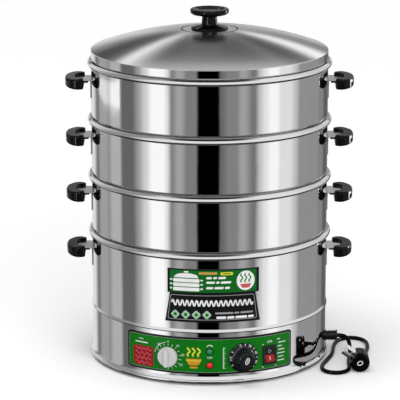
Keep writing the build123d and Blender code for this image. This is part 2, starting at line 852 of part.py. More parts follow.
save(plug_body, "plug_body")

with BuildPart() as plug_pins:
    with BuildSketch(pin_plane):
        with PolarLocations(pin_circle, 3):
            Rectangle(pin_width, pin_thickness)
    extrude(amount=pin_length)
save(plug_pins, "plug_pins")
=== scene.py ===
# %% [markdown]
# # A stacked electric steamer
# The construction is already settled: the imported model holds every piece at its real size, and knows
# what lifts, turns and tips. This lesson dresses that model. Walls, lid and knobs are spun from rounded
# outlines, the printed film is cut flat and bent round the drum, and each finish is a small set of
# shader expressions. Outlines and prints are written in millimetres, and the factor mm makes them
# metres.

import json
import math

import bmesh
import bpy
from mathutils import Matrix, Vector

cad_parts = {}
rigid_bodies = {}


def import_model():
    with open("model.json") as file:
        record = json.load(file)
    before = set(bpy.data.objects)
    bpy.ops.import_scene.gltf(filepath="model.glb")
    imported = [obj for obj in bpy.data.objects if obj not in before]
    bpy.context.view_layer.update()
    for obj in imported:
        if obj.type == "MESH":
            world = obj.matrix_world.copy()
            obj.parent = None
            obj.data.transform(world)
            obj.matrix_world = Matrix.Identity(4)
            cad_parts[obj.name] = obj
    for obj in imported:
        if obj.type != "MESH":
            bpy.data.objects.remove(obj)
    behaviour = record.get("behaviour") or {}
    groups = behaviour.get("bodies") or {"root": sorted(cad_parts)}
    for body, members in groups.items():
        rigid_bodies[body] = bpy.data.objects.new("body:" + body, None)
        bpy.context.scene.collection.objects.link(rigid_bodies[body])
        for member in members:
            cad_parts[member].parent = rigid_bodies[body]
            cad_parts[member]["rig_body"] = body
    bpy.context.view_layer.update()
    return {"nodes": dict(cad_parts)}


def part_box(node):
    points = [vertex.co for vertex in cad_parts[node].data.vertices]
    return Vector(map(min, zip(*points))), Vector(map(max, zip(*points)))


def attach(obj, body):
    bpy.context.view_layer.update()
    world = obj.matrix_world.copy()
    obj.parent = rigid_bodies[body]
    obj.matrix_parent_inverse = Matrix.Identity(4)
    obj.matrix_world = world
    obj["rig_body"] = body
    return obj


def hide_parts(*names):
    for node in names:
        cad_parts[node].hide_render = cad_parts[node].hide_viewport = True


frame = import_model()
mm = 0.001
scene = bpy.context.scene
scene.view_settings.view_transform = "Standard"

# %% [markdown]
# ## The camera
# The steamer was photographed from over four metres away with a long lens, a little above the lid, so
# upright walls stay upright. A long lens on a far camera repeats that; a near camera with a wide lens
# would make the rims bulge.

# %% Camera
camera_pitch = 13.71
camera_data = bpy.data.cameras.new("camera")
camera_data.sensor_width = 36
camera_data.lens = 228
camera = bpy.data.objects.new("camera", camera_data)
camera.location = (-0.016, -4.2, 1.292)
camera.rotation_euler = (math.radians(90 - camera_pitch), 0, 0)
scene.collection.objects.link(camera)
scene.camera = camera
print("camera", camera_data.lens, "mm lens,", camera_pitch, "degrees down")

# %% [markdown]
# ## Shader maths as expressions
# A material is a tree of nodes. Written one by one they hide the idea, so a wire here is a socket on
# which Python's operators work. Two more methods are used all the time: one is 1 past an edge and one is
# 1 before it, with a soft change between, which is how a mask is drawn.


# %% Wires
class Wire:
    """An output socket of a node tree, on which maths can be written."""

    def __init__(self, tree, socket):
        self.tree = tree
        self.socket = socket

    def math(self, operation, *values):
        return self.tree.node("ShaderNodeMath", {"operation": operation}, dict(enumerate(values)))

    def __add__(self, other):
        return self.math("ADD", self, other)

    def __sub__(self, other):
        return self.math("SUBTRACT", self, other)

    def __rsub__(self, other):
        return self.math("SUBTRACT", other, self)

    def __mul__(self, other):
        return self.math("MULTIPLY", self, other)

    def __truediv__(self, other):
        return self.math("DIVIDE", self, other)

    def clamp(self):
        return self.tree.node("ShaderNodeClamp", {}, {0: self})

    def past(self, edge, blur):
        """0 up to the edge, and 1 from a blur beyond it."""
        return ((self - edge) / blur).clamp()

    def before(self, edge, blur):
        """0 beyond the edge, and 1 from a blur before it."""
        return ((edge - self) / blur).clamp()

    __radd__ = __add__
    __rmul__ = __mul__


print("wires add, subtract, multiply, divide and mask")

# %% [markdown]
# ## One way to add a node
# Nodes differ only in their type, their settings and what their sockets hold, so one method makes them
# all. The settings come first, because some of them change which sockets a node has. Colours are blended
# by Mix nodes: a Math node would turn them grey.


# %% Node trees
class Tree:
    """A node tree with one way to add nodes."""

    def __init__(self, node_tree):
        self.nodes = node_tree.nodes
        self.links = node_tree.links

    def plug(self, node, key, value):
        socket = node.inputs[key]
        if isinstance(value, Wire):
            self.links.new(value.socket, socket)
        elif socket.type == "RGBA":
            socket.default_value = (*value, 1)
        else:
            socket.default_value = value

    def node(self, kind, settings=None, sockets=None, out=0):
        """Add a node: its settings first, then the values or wires of its sockets."""
        made = self.nodes.new(kind)
        for name, value in (settings or {}).items():
            if name == "stops":
                lay_stops(made.color_ramp.elements, value)
            else:
                setattr(made, name, value)
        for key, value in (sockets or {}).items():
            self.plug(made, key, value)
        return Wire(self, made.outputs[out])

    def mix(self, factor, first, second):
        """Blend two colours."""
        return self.node("ShaderNodeMix", {"data_type": "RGBA"}, {0: factor, 6: first, 7: second}, out=2)


def lay_stops(elements, stops):
    """Give a colour ramp its stops, each a position and a grey tone."""
    last = len(stops) - 1
    for index, (position, tone) in enumerate(stops):
        if index in (0, last):
            element = elements[0 if index == 0 else -1]
            element.position = position
        else:
            element = elements.new(position)
        element.color = (tone, tone, tone, 1)


print("trees add nodes, mix colours and lay the stops of ramps")

# %% [markdown]
# ## What a finish is made of
# Every finish is one Principled shader. Its constants are set on its own sockets. What varies over a
# surface, such as the fine scratches of polished sheet, is worked out from the object's coordinates, so
# it stays on the piece when the piece lifts or turns.


# %% Finishes
class Finish(Tree):
    """One material of the steamer, with the record's slot that it stands for."""

    def __init__(self, name, slot, constants):
        self.material = bpy.data.materials.new(name)
        self.material.use_nodes = True
        super().__init__(self.material.node_tree)
        self.slot = slot
        self.shader = self.nodes["Principled BSDF"]
        self.set(constants)
        self.place = self.node("ShaderNodeTexCoord", out="Object")

    def set(self, values):
        for key, value in values.items():
            self.plug(self.shader, key, value)

    def noise(self, scale, stretch=(1, 1, 1), detail=2.0):
        """Smooth noise, squeezed or drawn out along the axes."""
        mapped = self.node("ShaderNodeMapping", {}, {"Vector": self.place, "Scale": stretch})
        return self.node("ShaderNodeTexNoise", {}, {"Vector": mapped, "Scale": scale, "Detail": detail})

    def bump(self, height, distance):
        return self.node("ShaderNodeBump", {}, {"Height": height, "Distance": distance})


def tinted(color, factor):
    """A colour made darker or lighter."""
    return [min(1.0, value * factor) for value in color]


print("a finish has noise and bumps in its object's coordinates")

# %% [markdown]
# ## The metals
# The walls are polished sheet, the brackets a little duller, and the trays inside are as they leave the
# mill. All of them are metal with scratches in the gloss, drawn out level round the sheet, and faint
# clouds that make a mirror image waver. Only colour, roughness and the depth of the clouds differ, so
# one function makes them.


# %% Metals
def metal(name, slot, color, roughness, scratches, dents):
    """Metal with fine scratches in its gloss and shallow unevenness in its face."""
    finish = Finish(name, slot, {"Metallic": 1.0})
    grain = finish.noise(40, (1, 1, 26), 4.0)
    cloud = finish.noise(9)
    finish.set({
        "Base Color": finish.mix(cloud, tinted(color, 0.94), tinted(color, 1.04)),
        "Roughness": roughness + scratches * (grain + cloud - 1.0), "Normal": finish.bump(cloud, dents),
    })
    return finish


polished_steel = metal("polished steel", "polished_steel", (0.80, 0.80, 0.81), 0.05, 0.03, 0.5 * mm)
bracket_steel = metal("bracket steel", "bracket_steel", (0.72, 0.72, 0.73), 0.16, 0.04, 0.03 * mm)
tray_steel = metal("tray steel", "tray_steel", (0.66, 0.66, 0.67), 0.3, 0.08, 0.1 * mm)
fastener_steel = metal("fastener steel", "fastener_steel", (0.6, 0.6, 0.61), 0.25, 0.06, 0.05 * mm)
heater_aluminium = metal("heater aluminium", "heater_aluminium", (0.7, 0.7, 0.7), 0.42, 0.1, 0.1 * mm)
brass = metal("brass", "brass", (0.75, 0.60, 0.33), 0.22, 0.06, 0.05 * mm)
pin_metal = metal("plated pins", "brass", (0.78, 0.76, 0.72), 0.18, 0.05, 0.05 * mm)
print(len(bpy.data.materials), "metals")

# %% [markdown]
# ## Plastics and rubber
# Grips and knob are glossy moulded bakelite, the dials a harder plastic, the lamps clear caps, and the
# lead has a satin rubber skin. Moulded things are never quite even, so the colour drifts a little and
# the mould leaves a faint grain. The lamps, the red window and the white dial get a clear coat, which
# stands for their polished face.


# %% Plastics and rubber
def plastic(name, slot, color, roughness, coat=0.0, grain=0.004 * mm, gloss=0.5):
    """Moulded plastic: a colour that drifts a little, and the faint grain of its mould."""
    finish = Finish(name, slot, {"Coat Weight": coat, "Coat Roughness": 0.08, "Specular IOR Level": gloss})
    cloud = finish.noise(30)
    fine = finish.noise(900)
    finish.set({
        "Base Color": finish.mix(cloud, tinted(color, 0.8), tinted(color, 1.15)),
        "Roughness": roughness + 0.08 * (cloud - 0.5), "Normal": finish.bump(fine, grain),
    })
    return finish


bakelite = plastic("bakelite", "bakelite", (0.004, 0.004, 0.0045), 0.13, gloss=0.10)
black_plastic = plastic("black plastic", "black_plastic", (0.007, 0.008, 0.011), 0.22, gloss=0.26)
white_plastic = plastic("white plastic", "white_plastic", (0.60, 0.61, 0.60), 0.35, 0.3)
red_plastic = plastic("red plastic", "red_plastic", (0.36, 0.004, 0.008), 0.18, 0.15, gloss=0.2)
green_lamp_plastic = plastic("green lamp", "green_lamp_plastic", (0.01, 0.20, 0.07), 0.12, 0.8)
red_lamp_plastic = plastic("red lamp", "red_lamp_plastic", (0.80, 0.006, 0.008), 0.15, 0.8)
foot_rubber = plastic("foot rubber", "foot_rubber", (0.03, 0.03, 0.03), 0.7, grain=0.03 * mm)
lead_rubber = plastic("lead rubber", "lead_rubber", (0.003, 0.003, 0.0034), 0.2, gloss=0.05)
print(len(bpy.data.materials), "materials so far")

# %% [markdown]
# ## The lid's spun finish
# A lid is spun on a lathe, and the tool leaves rings round its axis. Light then spreads across the
# rings, which gives the bright fans from the knob to the rim. Anisotropy does that without modelling
# thousands of grooves, and a ring noise in the roughness and the bump keeps the rings visible close by.
# The groove round the plateau sees little light, so its shade is painted into the colour: the same distance
# from the axis darkens it.

# %% Lid steel
lid_color = (0.74, 0.74, 0.75)
# painted shade: the dark colour of the ring round the groove stands for the shade that falls in it
painted_groove_shade = (0.07, 0.07, 0.07)
groove_radius = 47.0
groove_half_width = 1.7
lid_steel = Finish("lid steel", "lid_steel", {"Metallic": 1.0})
across_axis = lid_steel.node("ShaderNodeMapping", {}, {"Vector": lid_steel.place, "Scale": (1, 1, 0)})
ring_radius = lid_steel.node("ShaderNodeVectorMath", {"operation": "LENGTH"}, {0: across_axis}, out="Value")
rings = lid_steel.node("ShaderNodeTexNoise", {"noise_dimensions": "1D"}, {"W": ring_radius, "Scale": 900.0})
from_groove = ring_radius.math("ABSOLUTE", ring_radius - groove_radius * mm)
# painted shade mask: a ring round the groove at the plateau's edge, where the base colour turns dark
groove_shade_mask = from_groove.before(groove_half_width * mm, 0.6 * mm)
lid_steel.set({
    "Anisotropic": 0.62, "Anisotropic Rotation": 0.25,
    "Base Color": lid_steel.mix(groove_shade_mask, lid_color, painted_groove_shade),
    "Roughness": 0.14 + 0.08 * rings, "Normal": lid_steel.bump(rings, 0.0006 * mm),
})
print("lid steel has", len(lid_steel.nodes), "nodes")

# %% [markdown]
# ## The mains lead
# The cord leaves the gland at the right, drops to the floor and lies there in two flat loops, with the
# plug propped on its own body. One smooth spline holds the whole lead: its control points are the route
# that the construction uses, and the spline's order makes it flow through the bends instead of breaking
# at them.

# %% Power cord
cord_diameter = 7 * mm
cord_floor = 3.6
plug_height = 16.6
cord_route = [
    (221.1, 0, 27), (231.5, 0, 27), (240, -8.5, 22.5), (242, -22, 14), (241, -39, 7),
    (238, -62, cord_floor), (236, -92, cord_floor), (235.5, -124, cord_floor), (222, -141, cord_floor),
    (202, -140, cord_floor), (189, -124, cord_floor), (191, -96, cord_floor), (202, -64, cord_floor),
    (211, -34, cord_floor), (214, -2, cord_floor), (218, 28, cord_floor), (227, 52, cord_floor),
    (244, 64, cord_floor), (263, 58, cord_floor), (273.5, 40, cord_floor), (275, 14, cord_floor),
    (272, -12, cord_floor), (266, -35, 6.5), (257, -51, 13), (253, -64, plug_height), (253, -74, plug_height),
]
lead_curve = bpy.data.curves.new("power_lead", "CURVE")
lead_curve.dimensions = "3D"
lead_curve.bevel_depth = cord_diameter / 2
lead_curve.bevel_resolution = 6
lead_curve.resolution_u = 12
lead_curve.use_fill_caps = True
lead_line = lead_curve.splines.new("NURBS")
lead_line.points.add(len(cord_route) - 1)
for point, place in zip(lead_line.points, cord_route):
    point.co = (*(Vector(place) * mm), 1)
lead_line.order_u = 3
lead_line.use_endpoint_u = True
lead_curve.materials.append(lead_rubber.material)
power_lead = bpy.data.objects.new("power_lead", lead_curve)
scene.collection.objects.link(power_lead)
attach(power_lead, "base")
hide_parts("power_cord")
print("lead with", len(cord_route), "control points")

# %% [markdown]
# ## From a bmesh to a piece
# A bmesh is a shape on the bench: operators cut and round it, and only then does it become a mesh. Every
# finished piece needs the same last steps. It is shaded smooth except at its sharp edges, its shading is
# weighted by the size of the faces so that flat parts look flat, it is told which body it rides on, and
# the CAD nodes that it stands for are hidden.


# %% Finished pieces
def mesh_object(name, bm, *materials):
    """Turn a bmesh into a smooth object of the scene."""
    mesh = bpy.data.meshes.new(name)
    bm.to_mesh(mesh)
    bm.free()
    for material in materials:
        mesh.materials.append(material)
    mesh.shade_smooth()
    made = bpy.data.objects.new(name, mesh)
    scene.collection.objects.link(made)
    return made


def finished(name, bm, finish, body, nodes=(), sharp=40, more=()):
    """Turn a bmesh into a piece that rides on a body and stands for its CAD nodes."""
    piece = mesh_object(name, bm, finish.material, *(other.material for other in more))
    piece.data.set_sharp_from_angle(angle=math.radians(sharp))
    shading = piece.modifiers.new("even shading", "WEIGHTED_NORMAL")
    shading.keep_sharp = True
    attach(piece, body)
    if nodes:
        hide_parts(*nodes)


def placed(bm, matrix):
    """Move a shape that was made at the origin to its place on the steamer."""
    bmesh.ops.transform(bm, matrix=matrix, verts=bm.verts[:])
    return bm


print("bench ready: shapes are placed, shaded and handed to their bodies")

# %% [markdown]
# ## Turned pieces
# Almost everything here is round, so one helper turns an outline. The outline is a few corners, each
# with the amount that it is rounded by. Rounding the corners of the bare outline before the spin costs
# far less than bevelling the spun solid.

# %% Helpers for turned pieces
round_steps = 192
knob_steps = 96
small_steps = 64
lamp_steps = 48


def round_off(bm, geometry, amount, segments, affect="EDGES", clamp=False):
    """Round edges or corners by an amount."""
    bmesh.ops.bevel(
        bm, geom=geometry, affect=affect, offset=amount, offset_type="OFFSET", segments=segments,
        profile=0.5, material=-1, clamp_overlap=clamp,
    )


def turned(corners, steps=round_steps):
    """Spin an outline of (radius, height, rounding) corners, in millimetres, about Z."""
    bm = bmesh.new()
    points = [bm.verts.new((radius * mm, 0, height * mm)) for radius, height, _ in corners]
    closes_on_axis = corners[0][0] == 0 and corners[-1][0] == 0
    following = points[1:] if closes_on_axis else points[1:] + points[:1]
    for start, end in zip(points, following):
        bm.edges.new((start, end))
    for point, (_, _, rounding) in zip(points, corners):
        if rounding:
            round_off(bm, [point], rounding * mm, 5, "VERTICES")
    bmesh.ops.spin(
        bm, geom=bm.verts[:] + bm.edges[:], cent=(0, 0, 0), axis=(0, 0, 1),
        angle=2 * math.pi, steps=steps, use_merge=True,
    )
    bmesh.ops.remove_doubles(bm, verts=bm.verts[:], dist=1e-6)
    bmesh.ops.recalc_face_normals(bm, faces=bm.faces[:])
    return bm


print("round pieces get", round_steps, "steps, small ones", lamp_steps, "to", knob_steps)

# %% [markdown]
# ## The rolled rim and the neck
# The pot and the three tiers are straight cylinders of thin sheet whose top edge is rolled outwards into
# a bead. The next vessel stands in a socket inside that bead, and its wall steps in just above it. The
# step and the socket show as a dark line at every seam. Rim and neck are the same on every vessel, so
# each is a short list of corners that an outline takes in.

# %% Rims and necks
outside = 200.0
sheet = 1.2
inside = outside - sheet
bead = 206.2
bead_low = 8.4
bead_high = 4.2
rim_height = 10.4
socket = 200.6
socket_depth = 6.5
neck_step = 1.6


def rim_corners(top):
    """The rolled rim's corners, from the wall's outside to its inside."""
    return [
        (outside, top - rim_height, 0.6), (bead, top - bead_low, 2.0), (bead, top - bead_high, 2.1),
        (socket + 2.0, top, 0.8), (socket, top - 0.4, 0.3), (socket, top - socket_depth, 0),
        (inside, top - socket_depth, 0),
    ]


def neck_corners(bottom, low, high):
    """The step above a seam: the corners of the wall's inside and of its outside, from the bottom up."""
    inner = [(inside - neck_step, bottom, 0), (inside - neck_step, low, 0), (inside, high, 0)]
    outer = [(outside - neck_step, bottom, 0), (outside - neck_step, low, 0.4), (outside, high, 0.5)]
    return inner, outer


print("the bead stands", round(bead - outside, 1), "mm proud of the wall")

# %% [markdown]
# ## The walls
# Each wall is one outline: up the outside, over the bead, down into the socket and back down the inside.
# The pot's outline also crosses to the axis, which gives it a floor. Where the walls start and end is
# read from the CAD.

# %% Walls of the pot and the tiers
vessels = {"pot": "base", "tier_bottom": "tier_bottom", "tier_middle": "tier_middle", "tier_top": "tier_top"}
floor_rise = 3
wall_feet = {vessel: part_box(f"{vessel}_shell")[0].z / mm for vessel in vessels}
rim_tops = {vessel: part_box(f"{vessel}_shell")[1].z / mm for vessel in vessels}
seam = None
for vessel, body in vessels.items():
    foot = wall_feet[vessel]
    rim = rim_corners(rim_tops[vessel])
    if vessel == "pot":
        floor = foot + floor_rise
        wall = [(0, floor, 0), (inside, floor, 0), (inside, foot, 0), (outside, foot, 0), *rim]
        wall += [(inside, floor + sheet, 2.0), (0, floor + sheet, 0)]
    else:
        inner, outer = neck_corners(foot, seam + 0.8, seam + 4.0)
        wall = [inner[0], *outer, *rim, inner[2], inner[1]]
    finished(f"{vessel}_wall", turned(wall), polished_steel, body, [f"{vessel}_shell"])
    seam = rim_tops[vessel]
print("rims end at", {vessel: round(top, 1) for vessel, top in rim_tops.items()})

# %% [markdown]
# ## The base drum
# The base is the same sheet, with a bead rolled round its foot and a smaller one where the pot's wall
# meets it. The wall flares a little towards the foot's bead, and under the drum it turns inwards to a
# lip, where the cover is screwed on.

# %% Base drum
drum_foot, drum_top = (corner.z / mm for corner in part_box("base_shell"))
foot_bead = 203.6
joint_bead = 201.7
lip = 186
drum = [
    (lip, drum_foot, 0), (202, drum_foot, 1.2), (foot_bead, drum_foot + 2.0, 1.2),
    (foot_bead, drum_foot + 5.2, 1.2), (202.2, drum_foot + 6.4, 0.4), (outside, drum_foot + 11.0, 2.4),
    (outside, drum_top - 5.6, 0.8), (joint_bead, drum_top - 4.9, 0.5), (joint_bead, drum_top - 4.0, 0.5),
    (outside, drum_top, 0), (inside, drum_top, 0), (inside, drum_foot + sheet, 1.0),
    (lip, drum_foot + sheet, 0),
]
finished("base_drum", turned(drum), polished_steel, "base", ["base_shell"])
print("drum from", round(drum_foot, 1), "to", round(drum_top, 1))

# %% [markdown]
# ## The lid
# A straight skirt stands in the top rim, a narrow polished band shows above it, and a low dome rises to
# a flat plateau that carries the knob. The dome is part of a large sphere, so its outline needs only the
# sphere's formula. A shallow groove runs round the plateau's edge.

# %% Lid
lid_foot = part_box("lid_shell")[0].z / mm
band_height = 15.7
band_top = seam + band_height
dome_rise = 36.0
dome_steps = 14
dome_edge = outside - 4
dome_radius = (outside ** 2 + dome_rise ** 2) / (2 * dome_rise)
plateau_radius = 48.0
groove = 1.3
screw_hole = 3.3


def dome_height(radius):
    return band_top + dome_rise - dome_radius + math.sqrt(dome_radius ** 2 - radius ** 2)


dome_rings = [dome_edge - step * (dome_edge - plateau_radius) / dome_steps for step in range(dome_steps + 1)]
plateau = dome_height(plateau_radius)
inner, outer = neck_corners(lid_foot, seam + 0.1, seam + 2.0)
lid = [inner[0], *outer, (outside, band_top, 0.8)]
lid += [(radius, dome_height(radius), 0) for radius in dome_rings]
lid += [
    (plateau_radius - 0.2, plateau - groove, 0.3), (plateau_radius - 1.6, plateau - groove, 0.3),
    (plateau_radius - 2.0, plateau, 0.5), (screw_hole, plateau, 0), (screw_hole, plateau - sheet, 0),
    (plateau_radius - 4, plateau - sheet, 0), (plateau_radius - 3, plateau - groove - sheet, 0),
    (plateau_radius + 2, plateau - groove - sheet, 0),
]
lid += [(radius, dome_height(radius) - sheet, 0) for radius in reversed(dome_rings[:-1])]
lid += [(inside, band_top - sheet, 0.8), inner[2], inner[1]]
lid_shape = turned(lid)
for face in lid_shape.faces:
    face.material_index = int(face.calc_center_median().z < (band_top - 0.3) * mm)
finished("lid_dome", lid_shape, lid_steel, "lid", ["lid_shell"], sharp=20, more=[polished_steel])
print("plateau at", round(plateau, 1))

# %% [markdown]
# ## The lid's knob
# A moulded knob with a broad flange on the plateau, a slim stem that keeps fingers off the hot lid, and
# a dished disc to hold. All of it is one outline, hollow in the middle for the screw.

# %% Knob of the lid
knob_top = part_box("lid_knob")[1].z / mm
knob_bore = 3.4
bore_depth = 16
knob = [
    (knob_bore, plateau, 0), (31, plateau, 0.8), (31, plateau + 2.6, 1.0), (13.6, plateau + 6.9, 1.6),
    (12.3, knob_top - 11.8, 2.2), (30, knob_top - 9.2, 2.0), (33, knob_top - 5.0, 1.6), (32, knob_top, 1.4),
    (26.5, knob_top, 1.2), (20, knob_top - 3.0, 3.0), (0, knob_top - 3.0, 0),
    (0, plateau + bore_depth, 0), (knob_bore, plateau + bore_depth, 0),
]
finished("lid_grip", turned(knob, knob_steps), bakelite, "lid", ["lid_knob"])
print("knob stands", round(knob_top - plateau, 1), "mm over the plateau")

# %% [markdown]
# ## Pressed and moulded pieces from the CAD
# Flat plates, pins and housings have the right shape already, but their edges are knife-sharp, which no
# press or mould leaves. A copy of such a piece is joined up, its needless triangles dissolved, and its
# edges rounded.


# %% Rounded copies of CAD pieces
def softened(node, name, finish, width, segments=3):
    """A copy of a CAD piece with its sharp edges rounded by width, in millimetres."""
    source = frame["nodes"][node]
    bm = bmesh.new()
    bm.from_mesh(source.data)
    bmesh.ops.remove_doubles(bm, verts=bm.verts[:], dist=1e-6)
    bmesh.ops.dissolve_limit(bm, angle_limit=math.radians(1), verts=bm.verts[:], edges=bm.edges[:])
    sharp = math.radians(30)
    edges = [edge for edge in bm.edges if edge.is_manifold and edge.calc_face_angle() > sharp]
    round_off(bm, edges, width * mm, segments, clamp=True)
    finished(name, bm, finish, source["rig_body"], [node])


for vessel in vessels:
    for side in ("left", "right"):
        softened(f"{vessel}_bracket_{side}", f"{vessel}_handle_bracket_{side}", bracket_steel, 0.5, 2)
moulded = [
    ("switch_housing", "rocker_bezel", black_plastic, 0.4),
    ("power_rocker", "rocker_body", black_plastic, 0.5),
    ("rocker_lens", "rocker_window", red_plastic, 0.4),
    ("plug_pins", "plug_blades", pin_metal, 0.35),
    ("plug_body", "plug_shell", lead_rubber, 1.6),
]
for node, name, finish, width in moulded:
    softened(node, name, finish, width)
print("rounded", 2 * len(vessels) + len(moulded), "pieces")

# %% [markdown]
# ## The plan of a grip
# Each grip is a thick moulded half oval, pushed over the bracket's tongue. Seen from above it is a disc
# with one side cut off. The plan is made one unit wide and deep here, and gets its real size later,
# because each slice of the grip is drawn in by another amount. Its straight side is divided finely for
# the pocket to come.

# %% Plan of a grip
grip_cut = 0.55
side_cuts = 41


def half_oval_face():
    """A disc cut off on its left: X runs from 0 at the cut to 1, and Y from -1 to 1."""
    bm = bmesh.new()
    bmesh.ops.create_circle(bm, cap_ends=True, segments=96, radius=1)
    bmesh.ops.bisect_plane(
        bm, geom=bm.verts[:] + bm.edges[:] + bm.faces[:], plane_co=(-grip_cut, 0, 0), plane_no=(1, 0, 0),
        clear_inner=True,
    )
    bmesh.ops.remove_doubles(bm, verts=bm.verts[:], dist=1e-6)
    bmesh.ops.translate(bm, verts=bm.verts[:], vec=(grip_cut, 0, 0))
    bmesh.ops.scale(bm, vec=(1 / (1 + grip_cut), 1, 1), verts=bm.verts[:])
    straight_side = [edge for edge in bm.edges if edge.calc_length() > 1]
    bmesh.ops.subdivide_edges(bm, edges=straight_side, cuts=side_cuts)
    return bm


print("a grip's straight side has", side_cuts, "cuts")

# %% [markdown]
# ## The sides of a grip
# Seen from the side the grip is a band with round edges, and a deep pocket in its straight side opens
# upwards: it takes the fingertips and shows the tongue that lies in it. Two small functions say how far
# the rim and the straight side stand back at a height. Both are arcs of a circle, as a mould's cutter
# leaves them.

# %% Sides of a grip
grip_height = 18.7 * mm
grip_round = 3 * mm
pocket_depth = 15 * mm
pocket_height = 8.2 * mm
pocket_half_width = 0.66


def slice_inset(height):
    """How far the rim is drawn in at a height, so that the grip's edges are rounded."""
    nearest = min(height, grip_height - height)
    if nearest >= grip_round:
        return 0
    return grip_round - math.sqrt(grip_round ** 2 - (grip_round - nearest) ** 2)


def inner_side(height, across):
    """How far the straight side stands back: only its rounding, or the pocket that the tongue lies in."""
    into_pocket = (height - (grip_height - pocket_height)) / (pocket_height / 4)
    if into_pocket <= 0 or abs(across) >= pocket_half_width:
        return slice_inset(height)
    depth = pocket_depth * math.sqrt(1 - (across / pocket_half_width) ** 2)
    return slice_inset(height) + depth * math.sqrt(1 - (1 - min(into_pocket, 1)) ** 2)


print("a grip's pocket is", round(pocket_depth / mm), "mm deep")

# %% [markdown]
# ## A stack of slices
# A grip is made like a stack of slices: the half oval is extruded upwards step by step, with thin slices
# at the top and the bottom where the edge is rounded. Each slice is then drawn in at its rim and pushed
# back at its straight side, and the whole is tapered a little towards its outer edge.

# %% A grip from slices
grip_reach = 32 * mm
grip_half_width = 40 * mm
grip_edge_rise = 2.5 * mm
grip_edge_fall = 0.7 * mm
grip_slices = 26


def grip_stack():
    """The grip beside the axis: its straight side on X = 0 and its underside on Z = 0."""
    bm = half_oval_face()
    for level in range(grip_slices):
        top = [face for face in bm.faces if abs(face.normal.z) > 0.5]
        top = [face for face in top if face.calc_center_median().z > level - 0.5]
        made = bmesh.ops.extrude_face_region(bm, geom=top)["geom"]
        lifted = [item for item in made if isinstance(item, bmesh.types.BMVert)]
        bmesh.ops.translate(bm, verts=lifted, vec=(0, 0, 1))
        if level:
            bmesh.ops.delete(bm, geom=top, context="FACES_ONLY")
    bmesh.ops.recalc_face_normals(bm, faces=bm.faces[:])
    for vert in bm.verts:
        share = vert.co.z / grip_slices
        height = grip_height * (1 - math.cos(math.pi * share)) / 2
        inset = slice_inset(height)
        back = inner_side(height, vert.co.y)
        outwards = vert.co.x
        vert.co.x = back + (grip_reach - inset - back) * outwards
        vert.co.y *= grip_half_width - inset
        vert.co.z = height + grip_edge_rise * outwards * (1 - height / grip_height)
        vert.co.z -= grip_edge_fall * outwards * height / grip_height
    return bm


print("a grip reaches", round(grip_reach / mm), "mm out and is", round(2 * grip_half_width / mm), "mm wide")

# %% [markdown]
# ## The eight grips
# A lug on the straight side reaches towards the wall under the tongue. It is a block with rounded edges,
# and so is the bar on the timer later, so a small helper adds both. The eight grips differ only in their
# place and in the way they face.


# %% Eight grips
def add_block(bm, size, middle, rounding, segments):
    """Add a block with rounded edges, in millimetres."""
    corners = bmesh.ops.create_cube(bm, size=1.0)["verts"]
    bmesh.ops.scale(bm, vec=[length * mm for length in size], verts=corners)
    bmesh.ops.translate(bm, vec=[place * mm for place in middle], verts=corners)
    edges = [edge for edge in bm.edges if all(vert in corners for vert in edge.verts)]
    round_off(bm, edges, rounding * mm, segments)


grip_gap = 11.5
tongue_below_rim = 35
grip_below_tongue = 13.5
lug_size = (8, 36, 3.6)
lug_middle = (-3.5, 0, 10.4)
for vessel, body in vessels.items():
    underside = rim_tops[vessel] - tongue_below_rim - grip_below_tongue
    for side, turn in (("left", math.pi), ("right", 0)):
        grip = grip_stack()
        add_block(grip, lug_size, lug_middle, 0.6, 2)
        home = Matrix.Rotation(turn, 4, "Z")
        home = home @ Matrix.Translation(((outside + grip_gap) * mm, 0, underside * mm))
        finished(f"{vessel}_handle_{side}", placed(grip, home), bakelite, body, [f"{vessel}_grip_{side}"])
print(2 * len(vessels), "grips")

# %% [markdown]
# ## The dials
# The controls are turned pieces too, made lying at the origin with their axis along Z and then stood on
# the drum. The thermostat has a sloping skirt that carries its scale, and a cap to hold. The timer is a
# flat disc with a bar across it, as on a simple clockwork timer.


# %% Dials of the panel
def facing_out(azimuth, height, radius):
    """The place of a control, in millimetres: its Z points out of the wall, its Y up."""
    angle = math.radians(azimuth)
    outward = Vector((math.sin(angle), -math.cos(angle), 0))
    across = Vector((math.cos(angle), math.sin(angle), 0))
    turn = Matrix((across, Vector((0, 0, 1)), outward)).transposed().to_4x4()
    return Matrix.Translation(outward * (radius * mm) + Vector((0, 0, height * mm))) @ turn


control_height = 47.0
knob_back = 201.5
spindle_bore = 3.1
skirt_edge = 25
cap_height = 24
thermostat_place = facing_out(16, control_height, knob_back)
thermostat = [
    (spindle_bore, 0, 0), (skirt_edge, 0, 0.5), (skirt_edge, 2.8, 0.8), (19.5, 4.4, 1.0), (17.2, 6.5, 1.6),
    (15.6, 10, 2.0), (13.4, cap_height, 1.6), (0, cap_height, 0), (0, 14, 0), (spindle_bore, 14, 0),
]
finished("thermostat_dial_knob", placed(turned(thermostat, small_steps), thermostat_place),
         black_plastic, "thermostat_dial", ["thermostat_knob"])

timer_azimuth = -20
timer_place = facing_out(timer_azimuth, control_height, knob_back)
timer = [
    (spindle_bore, 0, 0), (17, 0, 0.4), (17, 5.6, 1.2), (15.6, 7, 0.8), (0, 7, 0), (0, 6, 0),
    (spindle_bore, 6, 0),
]
finished("timer_dial_disc", placed(turned(timer, small_steps), timer_place),
         white_plastic, "timer_dial", ["timer_knob"])
timer_bar = bmesh.new()
add_block(timer_bar, (7, 31, 9), (0, 0, 10.5), 2.4, 5)
finished("timer_dial_bar", placed(timer_bar, timer_place), white_plastic, "timer_dial")
print("two dials stand", knob_back, "mm from the axis")

# %% [markdown]
# ## Lamps and gland
# A lamp is a clear cap in a thin black collar. The gland at the right is a moulded sleeve with ribs,
# which lets the lead bend without a kink where it leaves the drum, and its thread goes through the wall.
# The ribs are alike, so a loop adds their corners to the outline.

